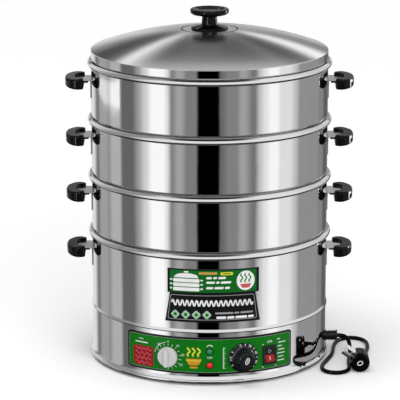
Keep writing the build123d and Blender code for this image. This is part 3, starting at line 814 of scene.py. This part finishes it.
# %% Lamps and gland
lamp_seat = 200.95
lamp_cap = [
    (0, -20, 0), (4, -20, 0), (4, 0.1, 0), (5.1, 0.1, 0.3), (4.8, 2.4, 1.0), (2.6, 4.0, 1.6), (0, 4.2, 0),
]
lamp_collar = [(5.2, 0.05, 0), (6.4, 0.05, 0.3), (6.2, 1.1, 0.4), (5.2, 1.1, 0.2)]
for color, height, finish in (("green", 58.8, green_lamp_plastic), ("red", 35.2, red_lamp_plastic)):
    home = facing_out(0, height, lamp_seat)
    cap = placed(turned(lamp_cap, lamp_steps), home)
    finished(f"{color}_lamp_lens", cap, finish, "base", [f"{color}_lamp"])
    collar = placed(turned(lamp_collar, lamp_steps), home)
    finished(f"{color}_lamp_collar", collar, black_plastic, "base")

lead_bore = 3.6
rib_spacing = 3.6
gland = [(lead_bore, 0, 0), (9.6, 0, 0.4), (9.6, 2.2, 0.5), (7.6, 2.6, 0.3)]
for rib in range(4):
    start = 4.2 + rib * rib_spacing
    gland += [(7.4, start, 0.3), (9.0, start + 0.5, 0.5), (9.0, start + 2.3, 0.5), (7.4, start + 2.8, 0.3)]
gland += [(7.6, 18.4, 0.2), (9.8, 18.8, 0.5), (9.8, 20.6, 0.5), (lead_bore, 21, 0)]
thread = [(0, -10, 0), (6.4, -10, 0.4), (6.4, 0, 0), (0, 0, 0)]
gland_place = facing_out(90, cord_route[0][2], outside + 0.1)
finished("lead_gland", placed(turned(gland, small_steps), gland_place), black_plastic, "base", ["cord_gland"])
finished("lead_gland_thread", placed(turned(thread, lamp_steps), gland_place), black_plastic, "base")
print("lamps and gland stand on the drum")

# %% [markdown]
# ## Printed films
# The panel and the pot's label are printed films. A picture texture would be the quick way, but a print
# that is cut from geometry stays sharp at any distance. Each print starts from a few flat shapes, which
# have no place yet: discs, bars with round corners, and the outline of such a shape.


# %% Discs, bars and outlines
def disc(width, height=None, segments=40):
    """A flat disc, or an ellipse if a height is given."""
    bm = bmesh.new()
    bmesh.ops.create_circle(bm, cap_ends=True, segments=segments, radius=0.5)
    bmesh.ops.scale(bm, vec=(width, height or width, 1), verts=bm.verts[:])
    return bm


def bar(width, height, corner=0.0, lean=0.0):
    """A flat rectangle with rounded corners, whose top is pushed sideways by lean."""
    bm = bmesh.new()
    bmesh.ops.create_grid(bm, x_segments=1, y_segments=1, size=0.5)
    bmesh.ops.scale(bm, vec=(width, height, 1), verts=bm.verts[:])
    top = [vert for vert in bm.verts if vert.co.y > 0]
    bmesh.ops.translate(bm, verts=top, vec=(lean, 0, 0))
    if corner:
        round_off(bm, bm.verts[:], corner, 6, "VERTICES")
    return bm


def polygon(points, corner):
    """A flat face through a few corners, each rounded."""
    bm = bmesh.new()
    bm.faces.new([bm.verts.new((x, y, 0)) for x, y in points])
    round_off(bm, bm.verts[:], corner, 6, "VERTICES")
    return bm


def outlined(bm, line):
    """Keep only a line along the edge of a flat shape."""
    middle = bm.faces[:]
    bmesh.ops.inset_region(bm, faces=middle, thickness=line, use_boundary=True, use_even_offset=True)
    bmesh.ops.delete(bm, geom=middle, context="FACES")
    return bm


print("discs, bars, polygons and their outlines can be cut")

# %% [markdown]
# ## Strokes
# The rest of a print is drawn with a pen: a ribbon of even width that follows a line, such as a wave or
# an arc. Two rows of points, one on each side of the line, are bridged into the ribbon.


# %% Strokes, waves and arcs
def stroke(points, width):
    """A flat ribbon of even width along points."""
    bm = bmesh.new()
    line = [Vector((x, y, 0)) for x, y in points]
    edges = []
    for side in (-0.5, 0.5):
        row = []
        for index, point in enumerate(line):
            ahead = line[min(index + 1, len(line) - 1)] - line[max(index - 1, 0)]
            square = Vector((-ahead.y, ahead.x, 0)).normalized()
            row.append(bm.verts.new(point + square * width * side))
        edges += [bm.edges.new(pair) for pair in zip(row, row[1:])]
    bmesh.ops.bridge_loops(bm, edges=edges)
    return bm


def wave(length, height, periods, width, steps=8):
    """A flat wavy stroke, centred."""
    count = round(periods * steps)
    points = []
    for step in range(count + 1):
        share = step / count
        points.append((length * (share - 0.5), height / 2 * math.sin(2 * math.pi * periods * share)))
    return stroke(points, width)


def arc(radius, start, end, width, steps=24):
    """A flat curved stroke, its angles in degrees from the right."""
    turns = [math.radians(start + (end - start) * step / steps) for step in range(steps + 1)]
    return stroke([(radius * math.cos(turn), radius * math.sin(turn)) for turn in turns], width)


print("strokes, waves and arcs can be drawn")

# %% [markdown]
# ## Numerals
# The dials carry plain numbers, and the word ON stands beside a lamp and the switch. A text curve brings
# the shapes of the letters, and is made a flat mesh, because only a mesh can be bent round the drum with
# the rest.


# %% Numerals
def numeral(word, size):
    """Plain lettering, turned into a flat mesh."""
    letters = bpy.data.curves.new("print letters", "FONT")
    letters.body = word
    letters.size = size
    letters.resolution_u = 4
    letters.align_x = "CENTER"
    letters.align_y = "CENTER"
    holder = bpy.data.objects.new("print letters", letters)
    bm = bmesh.new()
    bm.from_mesh(bpy.data.meshes.new_from_object(holder))
    bpy.data.objects.remove(holder)
    return bm


print("numbers can be set")

# %% [markdown]
# ## Inks
# A print is laid out flat, one colour after another, and each colour is one ink. When it is complete, it
# is cut into narrow strips and given the depth of the ink. Without the strips its long faces would stay
# flat when the print is bent.

# %% Inks
ink_depth = 0.04


class Ink:
    """One colour of a print, laid out flat: X along the wall, Y upwards, in millimetres."""

    def __init__(self):
        self.flat = bmesh.new()

    def lay(self, shape, x=0, y=0, turn=0.0):
        """Add a flat shape at its place."""
        home = Matrix.Translation((x, y, 0)) @ Matrix.Rotation(math.radians(turn), 4, "Z")
        carrier = bpy.data.meshes.new("print shape")
        placed(shape, home).to_mesh(carrier)
        shape.free()
        self.flat.from_mesh(carrier)
        bpy.data.meshes.remove(carrier)

    def lay_row(self, start, height, lengths, gap, size):
        """Add bars of several lengths one after another; size is their thickness, corner and lean."""
        for length in lengths:
            self.lay(bar(length, *size), start + length / 2, height)
            start += length + gap

    def cut(self, strip):
        """Cut the sheet into strips, so that it can bend, and give it the ink's depth."""
        low = min(vert.co.x for vert in self.flat.verts)
        high = max(vert.co.x for vert in self.flat.verts)
        for number in range(math.floor(low / strip), math.ceil(high / strip) + 1):
            whole = self.flat.verts[:] + self.flat.edges[:] + self.flat.faces[:]
            bmesh.ops.bisect_plane(self.flat, geom=whole, plane_co=(number * strip, 0, 0), plane_no=(1, 0, 0))
        made = bmesh.ops.extrude_face_region(self.flat, geom=self.flat.faces[:])["geom"]
        raised = [item for item in made if isinstance(item, bmesh.types.BMVert)]
        bmesh.ops.translate(self.flat, verts=raised, vec=(0, 0, ink_depth))
        bmesh.ops.recalc_face_normals(self.flat, faces=self.flat.faces[:])
        return self.flat


print("inks are", ink_depth, "mm deep")

# %% [markdown]
# ## Bending an ink
# A bent ink's points keep their height, and their place along the wall becomes an angle round the drum.
# Each further layer lies a little higher, so that no two colours share a face. A small mark stays flat,
# and is only made as small as it is.

# %% Bent inks and flat marks
ink_step = ink_depth + 0.002
strip_width = 5.0


def bend(ink, name, finish, film, layer):
    """Bend one colour round the drum, on top of the film's lower layers."""
    film_radius, slot = film
    radius = film_radius + layer * ink_step
    bm = ink.cut(strip_width)
    for vert in bm.verts:
        along, height, depth = vert.co
        reach = (radius + depth) * mm
        vert.co = (reach * math.sin(along / radius), -reach * math.cos(along / radius), height * mm)
    finished(name, bm, finish, "base")


def flat_mark(ink):
    """The small mark of one ink, flat and in metres."""
    bm = ink.cut(20)
    bmesh.ops.scale(bm, vec=(mm, mm, mm), verts=bm.verts[:])
    return bm


print("inks bend in strips", strip_width, "mm wide")

# %% [markdown]
# ## The colours of the prints
# Printed film is even colour under a clear satin lacquer, so it shines less than the plastics. The
# green, red, yellow and orange are strong inks, and the white is kept a little grey, as print looks
# under soft light.


# %% Colours of the prints
def film_ink(name, color):
    return plastic(name, "label_print", color, 0.3, gloss=0.14)


film_white = film_ink("film white", (0.78, 0.79, 0.78))
film_grey = film_ink("film grey", (0.30, 0.31, 0.31))
film_red = film_ink("film red", (0.29, 0.005, 0.012))
film_rose = film_ink("film rose", (0.52, 0.09, 0.10))
film_yellow = film_ink("film yellow", (0.66, 0.60, 0.05))
film_orange = film_ink("film orange", (0.62, 0.27, 0.02))
film_gold = film_ink("film gold", (0.50, 0.29, 0.06))
film_green = film_ink("film green", (0.001, 0.160, 0.004))
film_dark_green = film_ink("film dark green", (0.002, 0.125, 0.012))
film_mint = film_ink("film mint", (0.34, 0.50, 0.37))
film_black = film_ink("film black", (0.006, 0.006, 0.007))
print(len(bpy.data.materials), "materials with the inks")

# %% [markdown]
# ## The control panel's ground
# The panel is a black plate with a green field in a pale line. The plate is the CAD's own, so only the
# field and the line are laid on it. The lowest ink lies at the film's radius, just outside the plate.

# %% Panel's field
panel_film = (200.9, "panel_green")
panel_middle = 50.95
field = Ink()
field.lay(bar(290.8, 55.8, 3.6), 0, panel_middle)
bend(field, "panel_green_field", film_green, panel_film, 0)
border = Ink()
border.lay(outlined(bar(291.8, 56.8, 4.0), 0.5), 0, panel_middle)
bend(border, "panel_border_line", film_grey, panel_film, 0)
print("panel bent round a radius of", panel_film[0], "mm")

# %% [markdown]
# ## The control panel's white marks
# White is what a user reads: minutes round the timer, a rule beside the lamps, the word ON at the lamps
# and at the switch, and short rows at the panel's ends. The marks round the timer are laid by angle from
# its middle, so they follow it wherever it stands.

# %% Panel's white marks
timer_along = math.radians(timer_azimuth) * panel_film[0]
marks = Ink()


def lay_round_timer(shape, distance, turn, tilt=0.0):
    """Add a mark at a distance and an angle, in degrees, from the timer's middle."""
    angle = math.radians(turn)
    along = timer_along + distance * math.cos(angle)
    marks.lay(shape, along, control_height + distance * math.sin(angle), tilt)


marks.lay(arc(24.5, 100, 168, 0.8), timer_along, control_height)
for step in range(13):
    turn = 150 - 20 * step
    lay_round_timer(bar(2.6 if step % 2 else 4.2, 0.8), 20.5, turn, turn)
for number, turn in (("0", 90), ("10", 50), ("20", 10), ("30", -30), ("60", 130)):
    lay_round_timer(numeral(number, 5.4), 25.5, turn)

marks.lay(stroke([(-4.6, -1.2), (-2.4, 0.9), (0, 1.5), (2.4, 0.9), (4.6, -1.2)], 1.3), 0, 68.5)
marks.lay(numeral("ON", 5.2), 0, 48.2)
marks.lay(bar(0.9, 36, 0.3), 22.5, 47)
for step in range(13):
    length, along = (2.0, 23.7) if step % 3 else (3.4, 24.4)
    marks.lay(bar(length, 0.7), along, 29.6 + 2.9 * step)

marks.lay(numeral("ON", 6.0), 104, 68.4)
for along, height in ((91.2, 64.6), (91.2, 26.2), (116.0, 26.2)):
    marks.lay(disc(2.2, segments=12), along, height)
rows = ((119, 6), (121, 15), (120, 9), (121, 13), (119, 16), (121, 11), (120, 14))
for row, (start, length) in enumerate(rows):
    marks.lay(bar(length, 1.5, 0.6), start + length / 2, 70.5 - 6.2 * row)
marks.lay(bar(25, 1.9, 0.8), -120, 65.5)
marks.lay(bar(9, 1.0, 0.4), -121, 71.5)
bend(marks, "panel_white_marks", film_white, panel_film, 1)
print("white marks, the timer's round", round(timer_along, 1), "mm along the panel")

# %% [markdown]
# ## The control panel's pictures
# At the left a red tile carries a plain pattern of waves, and beside the timer a steaming bowl in yellow
# and orange says what the machine does. The bowl's line lies on the bowl, and the waves on the tile, one
# layer higher.

# %% Panel's pictures
tile_along = -117
tile = Ink()
tile.lay(bar(40, 34, 5.0), tile_along, 42.5)
bend(tile, "panel_red_tile", film_red, panel_film, 1)
weave = Ink()
for row in range(4):
    weave.lay(wave(32, 4.4, 3 + row % 2, 1.6), tile_along, 30.5 + 8.0 * row)
bend(weave, "panel_tile_waves", film_rose, panel_film, 2)

bowl_along = -26.5
steam = Ink()
for column in (-8.5, 0, 8.5):
    steam.lay(wave(15, 4.2, 1.25, 2.8), bowl_along + column, 57.5, 90)
bend(steam, "panel_steam_strokes", film_yellow, panel_film, 1)
bowl = Ink()
bowl.lay(polygon([(-14, 5), (14, 5), (8, -6), (-8, -6)], 2.4), bowl_along, 41)
bowl.lay(bar(13, 3.2, 1.4), bowl_along, 31)
bend(bowl, "panel_bowl", film_orange, panel_film, 1)
bowl_line = Ink()
bowl_line.lay(bar(24, 1.6, 0.6), bowl_along, 42.6)
bend(bowl_line, "panel_bowl_line", film_yellow, panel_film, 2)
print("a tile with four waves and a bowl with three strokes of steam")

# %% [markdown]
# ## The pot's label
# The label is green above and black below, with a pale line round its lower half. The black is the CAD's
# own plate, so only the green field and the line are laid on it.

# %% Label's field and line
label_film = (200.5, "label_print")
green_half = Ink()
green_half.lay(polygon([(-66.8, 197), (78.8, 197), (78.8, 159.5), (-66.8, 159.5)], 3.2))
bend(green_half, "label_green_field", film_dark_green, label_film, 0)
keyline = Ink()
keyline.lay(outlined(polygon([(-65.5, 154.8), (74.8, 154.8), (80.2, 112.6), (-70.8, 112.6)], 3.6), 0.9))
bend(keyline, "label_keyline", film_grey, label_film, 0)
print("label bent round a radius of", label_film[0], "mm")

# %% [markdown]
# ## The label's white and grey marks
# A stack of tiers with its lid, a round badge and a long wave are white. Rows of bars stand in the
# places where such a label carries its text: each row is laid from its lengths, one bar after another.

# %% Label's white and grey marks
stack_along = -39
badge_along = 60
whites = Ink()
whites.lay(polygon([(-21, 0), (21, 0), (17, 5.2), (8, 7.6), (-8, 7.6), (-17, 5.2)], 2.0), stack_along, 184.2)
whites.lay(bar(8, 2.6, 1.2), stack_along, 194.2)
for tier in range(3):
    whites.lay(bar(44, 6.0, 1.6), stack_along, 179.6 - 7.4 * tier)
    for side in (-1, 1):
        whites.lay(bar(4.2, 2.4, 1.0), stack_along + side * 25.6, 180.4 - 7.4 * tier)
whites.lay(disc(31, 33, 56), badge_along, 178.5)
for height, lengths in ((184.5, (9, 6, 12)), (176.8, (14, 5, 17)), (167.5, (11, 15, 8))):
    whites.lay_row(-6, height, lengths, 2.4, (3.6, 1.2, 0.8))
whites.lay(wave(136, 9.6, 17, 2.5, 10), 4.5, 141.2)
whites.lay_row(11, 116.8, (16, 12, 20, 10), 1.8, (4.2, 1.4))
bend(whites, "label_white_marks", film_white, label_film, 1)
greys = Ink()
greys.lay_row(9, 124.4, (30, 8, 22), 2.0, (3.0, 1.2))
bend(greys, "label_grey_marks", film_grey, label_film, 1)
print("label with a stack, a badge, a wave and rows of bars")

# %% [markdown]
# ## The label's coloured motifs
# A gold stripe and a yellow capsule stand in the green field, four pale lozenges in the black one, and
# the badge gets rising steam over a bowl: plain pictures of what the pot does. The lozenges' and the
# badge's inner shapes are the same green, so they are one ink.

# %% Label's coloured motifs
capsule_along = 28
capsule_height = 191.6
lozenge_height = 121.5
gold = Ink()
gold.lay(bar(30, 4.2, 1.0), -3, 192.4)
bend(gold, "label_gold_stripe", film_gold, label_film, 1)
capsule = Ink()
capsule.lay(bar(21, 5.0, 2.2), capsule_along, capsule_height)
bend(capsule, "label_capsule", film_yellow, label_film, 1)
lozenges = Ink()
motifs = Ink()
for place in range(4):
    along = -57.5 + 17.6 * place
    lozenges.lay(bar(11.5, 11.5, 2.4), along, lozenge_height, 45)
    motifs.lay(disc(5.6, segments=24), along, lozenge_height)
bend(lozenges, "label_lozenges", film_mint, label_film, 1)
for column in (-7, 0, 7):
    motifs.lay(wave(15, 3.6, 1.5, 2.2), badge_along + column, 183.0, 90)
motifs.lay(bar(14, 1.4, 0.5), capsule_along, capsule_height)
bend(motifs, "label_green_motifs", film_green, label_film, 2)
badge_bowl = Ink()
badge_bowl.lay(polygon([(-10, 3.4), (10, 3.4), (6, -3.6), (-6, -3.6)], 1.8), badge_along, 169.5)
bend(badge_bowl, "label_badge_bowl", film_rose, label_film, 2)
print("label with its stripe, its capsule, four lozenges and the badge's steam")

# %% [markdown]
# ## Marks on the thermostat
# The thermostat's scale is printed on the knob's sloping skirt, so it turns with the knob. Its marks are
# laid out flat like the films, but wrapped round the skirt's cone instead of the drum: the further out a
# point lies on the skirt, the lower it is. A slanted ring with a bar on the cap shows which way the knob
# points.

# %% Thermostat's scale and pointer
scale_radius = 22.2
skirt_slope = 1.6 / 5.5
skirt_face = 2.85
pointer_turn = -22
scale = Ink()
for number, turn in (("0", 105), ("30", 62), ("60", 20), ("90", -22), ("110", 180)):
    scale.lay(numeral(number, 5.6), math.radians(90 - turn) * scale_radius)
for turn in (84, 41, -1, -43, 150, 210):
    scale.lay(bar(0.9, 3.4), math.radians(90 - turn) * scale_radius, 0.4)
scale_shape = scale.cut(1.5)
for vert in scale_shape.verts:
    along, outwards, depth = vert.co
    radius = scale_radius + outwards
    angle = along / scale_radius
    height = skirt_face + (skirt_edge - radius) * skirt_slope + depth
    vert.co = Vector((radius * math.sin(angle), radius * math.cos(angle), height)) * mm
finished("thermostat_scale", placed(scale_shape, thermostat_place), film_white, "thermostat_dial")

pointer = Ink()
pointer.lay(outlined(disc(6.6, 12.2), 1.3), turn=pointer_turn)
pointer.lay(bar(0.9, 6.0), turn=pointer_turn)
on_cap = thermostat_place @ Matrix.Translation((0, 0, cap_height * mm))
finished("thermostat_pointer", placed(flat_mark(pointer), on_cap), film_white, "thermostat_dial")
print("the thermostat has its scale and its pointer")

# %% [markdown]
# ## Marks on the rocker and the plug
# The rocker is bent in the middle, so each half has its own slope: a ring for off lies on the upper half
# and a bar for on over the red window. They ride on the rocker and tip with it. The plug carries a plain
# white ring on its face.

# %% Marks of the rocker and the plug
rocker_azimuth = 29.5
rocker_height = 45.5
pivot_radius = 196.8
rocker_rest = -8
half_length = 11.6
half_rise = 2.5
half_face = 6.26
rocker_slope = math.degrees(math.atan2(half_rise, half_length))
rocker_pivot = facing_out(rocker_azimuth, rocker_height, pivot_radius)
rocker_pivot = rocker_pivot @ Matrix.Rotation(math.radians(rocker_rest), 4, "X")
rocker_marks = (
    (1, "rocker_off_mark", film_grey, outlined(disc(6.0), 1.0)),
    (-1, "rocker_on_mark", film_white, bar(1.2, 6.0, 0.4)),
)
for end, name, finish, shape in rocker_marks:
    mark = Ink()
    mark.lay(shape)
    on_half = Matrix.Translation((0, end * half_length / 2 * mm, half_face * mm))
    on_half = on_half @ Matrix.Rotation(math.radians(end * rocker_slope), 4, "X")
    finished(name, placed(flat_mark(mark), rocker_pivot @ on_half), finish, "power_switch")
ring = Ink()
ring.lay(outlined(disc(10.5, 8.0), 1.5), turn=25)
plug_along = cord_route[-1][0]
plug_front = 130
plug_face = Matrix.Translation((plug_along * mm, 0, 0)) @ facing_out(0, plug_height, plug_front)
finished("plug_mark", placed(flat_mark(ring), plug_face), film_white, "base")
print("marks on the rocker and on the plug")

# %% [markdown]
# ## Pieces that keep their CAD shape
# What sits inside the base, under the lid and in the tiers is right as it is, and so are the two thin
# plates that carry the prints. They only get their finish: the node's own object takes the material, and
# its mesh isn't touched.

# %% Finishes of the pieces that stay
plain_pieces = {
    fastener_steel: ("knob_washer", "knob_screw", "cover_screws", "thermostat_spindle", "timer_spindle"),
    tray_steel: ("tier_bottom_tray", "tier_middle_tray", "tier_top_tray", "bottom_cover"),
    black_plastic: ("thermostat_body", "timer_body", "gland_nut", "terminal_block"),
    brass: ("heater_terminals", "thermal_cutout", "thermostat_probe"),
    heater_aluminium: ("heating_plate",),
    foot_rubber: ("rubber_feet",),
    film_black: ("control_panel", "pot_label"),
}
for finish, nodes in plain_pieces.items():
    for node in nodes:
        for material_slot in frame["nodes"][node].material_slots:
            material_slot.material = finish.material
print(sum(len(nodes) for nodes in plain_pieces.values()), "pieces keep their CAD shape")

# %% [markdown]

# %% [markdown]
# ## What the steel mirrors
# Polished steel shows the room, not itself. A light tent far outside the picture carries upright strips
# that the walls mirror: a black gap round the camera, greys and soft whites to its sides. The lid
# mirrors the part of the tent behind it, where other strips fan out from the spot that a flat lid would
# show. The beads look up, so they mirror broad strips of the ceiling. Each strip is a start, an end and
# a tone; between two strips the tone blends.

# %% Strips of the tent
left_strips = [
    (-180, -151, 0.80), (-141, -137, 0.22), (-131, -119, 0.41), (-115, -114, 0.34), (-108, -96.5, 0.52),
    (-92.5, -78.5, 0.155), (-72, -71, 0.42), (-65, -63, 0.78), (-57, -45, 1.2), (-41.5, -41, 0.95),
    (-37, -35.5, 0.27), (-31, -27, 0.44), (-22, -13, 0.25), (-11, 0, 0.0),
]
right_strips = [
    (0, 8.6, 0.0), (10.4, 12, 0.17), (18, 26, 0.27), (30, 34, 0.43), (41, 44, 0.22), (49, 50, 0.70),
    (54, 56, 0.95), (60, 68, 1.15), (72, 84, 0.90), (91, 92, 0.62), (97, 108, 0.34), (115, 128, 0.33),
    (133, 141, 0.27), (149, 158, 0.12), (165, 180, 0.22),
]
lid_strips = [
    (-180, -97, 0.70), (-82, -80, 0.24), (-74, -62, 0.07), (-57, -55, 0.10), (-50, -46, 1.25),
    (-41, -39, 0.48), (-33, -22, 0.10), (-16, 8, 0.15), (14, 32, 0.11), (38, 41, 0.19), (47, 57, 0.07),
    (60, 61, 0.14), (67, 74, 1.25), (80, 88, 0.24), (95, 180, 0.42),
]
ceiling_strips = [(-180, -140, 0.78), (-110, -80, 0.32), (-60, 90, 0.92), (120, 180, 0.72)]


def strips_at(turn, strips, span=360):
    """The tone of the strips at a turn, which runs from 0 to 1 over a span of degrees."""
    first = strips[0][0]
    stops = []
    for start, end, tone in strips:
        stops += [((start - first) / span, tone), ((end - first) / span, tone)]
    return turn.tree.node("ShaderNodeValToRGB", {"stops": stops}, {0: turn})


print(len(left_strips) + len(right_strips), "strips for the walls and", len(lid_strips), "for the lid")

# %% [markdown]
# ## Directions in the tent
# The tent is a sphere round the origin, so the direction of a point says where it hangs. One turn is
# counted round the camera's side, for the walls and the ceiling. Another is counted round the spot that
# the flat lid mirrors. A ramp takes only so many stops, so the walls' strips are two ramps, one for each
# half.


# %% Directions and strips
class Studio(Tree):
    """A material of the studio, built from nothing."""

    def __init__(self, name):
        self.material = bpy.data.materials.new(name)
        self.material.use_nodes = True
        super().__init__(self.material.node_tree)
        self.nodes.clear()

    def show(self, shader):
        """Send a shader to the surface."""
        self.plug(self.nodes.new("ShaderNodeOutputMaterial"), "Surface", shader)


tent = Studio("light tent")
tent_place = tent.node("ShaderNodeTexCoord", out="Object")
direction = tent.node("ShaderNodeVectorMath", {"operation": "NORMALIZE"}, {0: tent_place})
east, north, up = (tent.node("ShaderNodeSeparateXYZ", {}, {0: direction}, out=axis) for axis in "XYZ")
flat_lid_mirror = math.cos(math.radians(camera_pitch))
towards_front = flat_lid_mirror - north
round_camera = east.math("ARCTAN2", east, 0 - north) / math.pi
round_mirror = east.math("ARCTAN2", east, towards_front) / (2 * math.pi) + 0.5
left_tone = strips_at(round_camera + 1, left_strips, 180)
right_tone = strips_at(round_camera, right_strips, 180)
wall_tone = tent.mix(round_camera.math("GREATER_THAN", round_camera, 0), left_tone, right_tone)
lid_tone = strips_at(round_mirror, lid_strips)
ceiling_tone = strips_at(round_camera / 2 + 0.5, ceiling_strips)
print("a flat lid mirrors the spot at north", round(flat_lid_mirror, 3))

# %% [markdown]
# ## Fields of the tent
# The strips are joined by masks. The lid's strips fill a field round the mirrored spot, with a grey
# middle for the plateau and a bright front edge. The ceiling starts just below the horizon, and its
# zenith is dark, which draws the thin dark lines in the beads. The tent is dark below, where the edges
# look down. A small window just below the horizon, far to the left, gives the bright patch on each wall.

# %% Fields of the tent
dark = (0.03, 0.03, 0.03)
from_mirror = east.math("SQRT", east * east + towards_front * towards_front)
plateau_spot = from_mirror.before(0.075, 0.02)
front_glow = from_mirror.past(0.31, 0.07) * towards_front.past(0.15, 0.1)
lid_field = tent.mix(front_glow, tent.mix(plateau_spot, lid_tone, (0.42, 0.42, 0.42)), (0.9, 0.9, 0.9))
past_charcoal = (-0.578 - round_camera) / 0.19
window_foot = 0.010 * past_charcoal * past_charcoal - 0.1625
window = up.past(window_foot, 0.002) * up.before(-0.1475, 0.0015)
window = window * round_camera.past(-0.775, 0.02) * round_camera.before(-0.525, 0.012)
window_tone = tent.node("ShaderNodeVectorMath", {"operation": "SCALE"}, {0: wall_tone, "Scale": 2.3})
fields = (
    (window, window_tone),
    (up.past(-0.06, 0.08), ceiling_tone),
    (up.past(0.84, 0.06), dark),
    (from_mirror.before(0.50, 0.06) * up.past(0.04, 0.08), lid_field),
    (up.before(-0.36, 0.06), dark),
    (up.before(-0.80, 0.08), (0.06, 0.06, 0.06)),
)
tent_tone = wall_tone
for mask, tone in fields:
    tent_tone = tent.mix(mask, tent_tone, tone)
tent.show(tent.node("ShaderNodeEmission", {}, {"Color": tent_tone, "Strength": 1.0}))
print("the tent has", len(fields), "fields over its strips")

# %% [markdown]
# ## The tent itself
# Only reflections see the tent: it sends no light on the floor, casts no shadow and stays out of the
# picture. So it can be as contrasty as the steel needs, while lamps and sky light everything else.

# %% Light tent
tent_radius = 12.0
tent_shape = bmesh.new()
bmesh.ops.create_uvsphere(tent_shape, u_segments=96, v_segments=48, radius=tent_radius)
light_tent = mesh_object("light_tent", tent_shape, tent.material)
for ray in ("visible_camera", "visible_diffuse", "visible_shadow", "visible_volume_scatter"):
    setattr(light_tent, ray, False)
print("tent", 2 * tent_radius, "m across")

# %% [markdown]
# ## The floor
# The steamer stands on white paper that fades into a white background, with a soft shadow round its
# foot. The paper is a plain diffuse white. To the camera alone it also glows a little, and more with the
# distance, so that it reaches white at the picture's edges and still shows the shadow near the steamer.

# %% Floor
near_glow = 0.06
glow_growth = 0.68
half_grown_at = 2.6
paper = Studio("floor paper")
seen = paper.node("ShaderNodeLightPath", out="Is Camera Ray")
paper_place = paper.node("ShaderNodeTexCoord", out="Object")
reach = paper.node("ShaderNodeVectorMath", {"operation": "LENGTH"}, {0: paper_place}, out="Value")
glow = near_glow + glow_growth * (reach / (reach + half_grown_at))
shaded = paper.node("ShaderNodeBsdfDiffuse", {}, {"Color": (0.9, 0.9, 0.9)})
lit = paper.node("ShaderNodeEmission", {}, {"Color": (1, 1, 1), "Strength": seen * glow})
paper.show(paper.node("ShaderNodeAddShader", {}, {0: shaded, 1: lit}))

floor_shape = bmesh.new()
bmesh.ops.create_grid(floor_shape, x_segments=1, y_segments=1, size=15)
studio_floor = mesh_object("floor", floor_shape, paper.material)
studio_floor.visible_glossy = False
print("the paper glows from", near_glow, "up to", near_glow + glow_growth)

# %% [markdown]
# ## The sky
# An even sky lights the steamer from all sides at about half strength. The camera sees it at full white,
# and so does any mirror or glass that looks past the tent.

# %% Sky
sky_light = 0.52
world = bpy.data.worlds.new("studio")
world.use_nodes = True
scene.world = world
sky = Tree(world.node_tree)
camera_ray = sky.node("ShaderNodeLightPath", out="Is Camera Ray")
glossy_ray = sky.node("ShaderNodeLightPath", out="Is Glossy Ray")
through_ray = sky.node("ShaderNodeLightPath", out="Is Transmission Ray")
background = (camera_ray + glossy_ray + through_ray).clamp()
sky.plug(sky.nodes["Background"], "Color", (1, 1, 1))
sky.plug(sky.nodes["Background"], "Strength", sky_light + (1 - sky_light) * background)
print("the sky lights the steamer at", sky_light, "of the white that the camera sees")

# %% [markdown]
# ## Lamps
# A soft lamp overhead gives the shadow round the foot, and one in front lights the panel. Steel would
# show them as squares, so they are left out of reflections.

# %% Lamps
lamp_aim = Vector((0, 0, 0.3))


def lamp(name, place, size, power):
    """A square soft lamp that looks at the middle of the steamer and shows in no reflection."""
    data = bpy.data.lights.new(name, "AREA")
    data.size = size
    data.energy = power
    light = bpy.data.objects.new(name, data)
    light.location = place
    light.rotation_euler = (lamp_aim - Vector(place)).to_track_quat("-Z", "Y").to_euler()
    light.visible_glossy = False
    scene.collection.objects.link(light)
    return light


lamp("key", (-0.4, -0.2, 3.0), 1.4, 34)
lamp("fill", (0.6, -2.2, 1.4), 1.6, 26)
print("two soft lamps")

# %% [markdown]
# ## Glints
# The black grips and knobs are the other way round: they need narrow lights to mirror, or they look like
# holes. So three strips are linked to the black pieces alone, and light nothing else.

# %% Glints
glossy_blacks = bpy.data.collections.new("glossy blacks")
dark_materials = {finish.material for finish in (bakelite, black_plastic, lead_rubber)}
for piece in scene.objects:
    if dark_materials & {held.material for held in piece.material_slots}:
        glossy_blacks.objects.link(piece)


def glint(name, place, width, height, power):
    """A strip light that only the glossy black pieces reflect."""
    strip = lamp(name, place, width, power)
    strip.data.shape = "RECTANGLE"
    strip.data.size_y = height
    strip.visible_glossy = True
    strip.visible_diffuse = False
    strip.light_linking.receiver_collection = glossy_blacks


glint("glint left", (-0.85, -1.35, 0.35), 0.16, 0.9, 12)
glint("glint right", (1.45, 0.75, 0.35), 0.14, 0.9, 14)
glint("glint above", (0, -1.6, 1.5), 2.2, 0.12, 30)
